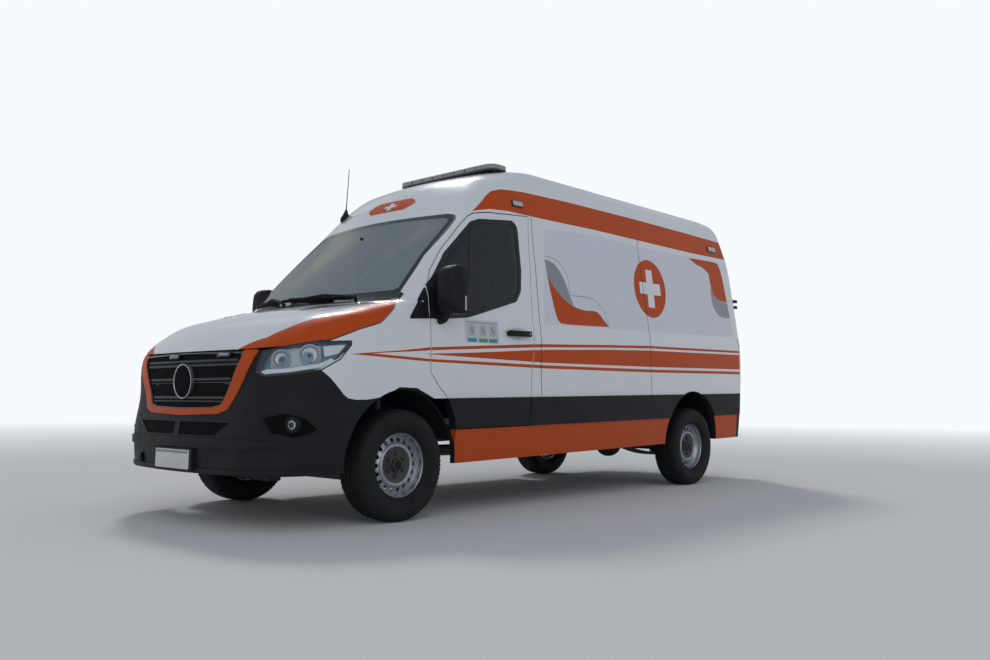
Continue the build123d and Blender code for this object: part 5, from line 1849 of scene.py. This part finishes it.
def studio_world(daylight):
    """A white background for the camera, and for all else a pale sky with soft clouds, deeper upwards."""
    world = bpy.data.worlds.new("studio")
    world.use_nodes = True
    tree = world.node_tree
    background = tree.nodes["Background"]
    direction = tree.nodes.new("ShaderNodeTexCoord").outputs["Generated"]
    sky = mix_colours(tree, spread(tree, height_of(tree, direction), 0.02, 0.75, 0.0, 1.0), SKY_LOW, SKY_HIGH)
    clouds = spread(tree, noise(tree, 2.6, 5.0, direction), 0.50, 0.62, 0.0, 0.85)
    sky = mix_colours(tree, clouds, sky, CLOUD_WHITE)
    seen = tree.nodes.new("ShaderNodeLightPath").outputs["Is Camera Ray"]
    feed(tree, background.inputs["Color"], mix_colours(tree, seen, sky, FAR_WHITE))
    feed(tree, background.inputs["Strength"], spread(tree, seen, 0.0, 1.0, daylight, 1.0))
    return world


class Stage(bpy.types.Operator):
    """The camera, floor and lamps"""

    bl_idname = "ambulance.stage"
    bl_label = "Stage"

    def execute(self, context):
        """Set the view and the light."""
        scene = context.scene
        settings = scene.ambulance_stage
        data = bpy.data.cameras.new("camera")
        data.lens = settings.lens
        data.sensor_width = 36
        data.clip_end = 200
        camera = bpy.data.objects.new("camera", data)
        across, along = math.cos(CAMERA_PITCH) * Vector((-math.sin(CAMERA_YAW), math.cos(CAMERA_YAW)))
        forward = Vector((across, along, math.sin(CAMERA_PITCH)))
        level = forward.cross(Vector((0, 0, 1))).normalized()
        up = level.cross(forward)
        right = level * math.cos(CAMERA_ROLL) + up * math.sin(CAMERA_ROLL)
        axes = Matrix((right, right.cross(forward), -forward)).transposed().to_4x4()
        camera.matrix_world = Matrix.Translation(CAMERA_PLACE) @ axes
        scene.collection.objects.link(camera)
        scene.camera = camera
        scene.world = studio_world(settings.daylight)
        bpy.ops.mesh.primitive_plane_add(size=120, location=(0, 0, 0))
        floor = context.object
        floor.name = "floor_plane"
        floor.data.materials.append(floor_material(settings.floor))
        for name, direction, spread_angle, power, colour in (
            ("key_lamp", (-0.75, 0.5, 0.95), 10, settings.key, (1.0, 0.97, 0.93)),
            ("fill_lamp", (0.9, -0.8, 0.8), 50, settings.key * 0.4, (0.96, 0.98, 1.0)),
        ):
            data = bpy.data.lights.new(name, "SUN")
            data.angle = math.radians(spread_angle)
            data.energy = power
            data.color = colour
            lamp = bpy.data.objects.new(name, data)
            lamp.matrix_world = Vector(direction).to_track_quat("Z", "Y").to_matrix().to_4x4()
            scene.collection.objects.link(lamp)
        scene.view_settings.view_transform = "Standard"
        return {"FINISHED"}


class AmbulancePanel(bpy.types.Panel):
    """The ambulance's pieces in the sidebar"""

    bl_idname = "VIEW3D_PT_ambulance"
    bl_label = "Ambulance"
    bl_space_type = "VIEW_3D"
    bl_region_type = "UI"
    bl_category = "Ambulance"

    def draw(self, context):
        """List the settings and the steps."""
        for group in (context.scene.ambulance_paint, context.scene.ambulance_stage,
                      context.scene.ambulance_wheels, context.scene.ambulance_front):
            for name in group.__annotations__:
                self.layout.prop(group, name)
        for step in STEPS:
            self.layout.operator(step.bl_idname)


STEPS = (Stage, BodyPanels, FrontLamps, Grille, FrontBumper, Glazing, Wheels, PlainNodes, DoorFittings,
         RoofFittings, ScreenFittings, Seats)
GROUPS = (
    ("ambulance_paint", PaintSettings), ("ambulance_stage", StageSettings),
    ("ambulance_wheels", WheelSettings), ("ambulance_front", FrontSettings),
)


def register():
    """Register the settings, steps and panel."""
    for name, group in GROUPS:
        bpy.utils.register_class(group)
        setattr(bpy.types.Scene, name, PointerProperty(type=group))
    for item in (*STEPS, AmbulancePanel):
        bpy.utils.register_class(item)


def unregister():
    """Remove the settings, steps and panel."""
    for item in (AmbulancePanel, *reversed(STEPS)):
        bpy.utils.unregister_class(item)
    for name, group in reversed(GROUPS):
        delattr(bpy.types.Scene, name)
        bpy.utils.unregister_class(group)


def main():
    """Make every piece in order."""
    register()
    for step in STEPS:
        family, name = step.bl_idname.split(".")
        getattr(getattr(bpy.ops, family), name)()


if __name__ == "__main__":
    main()
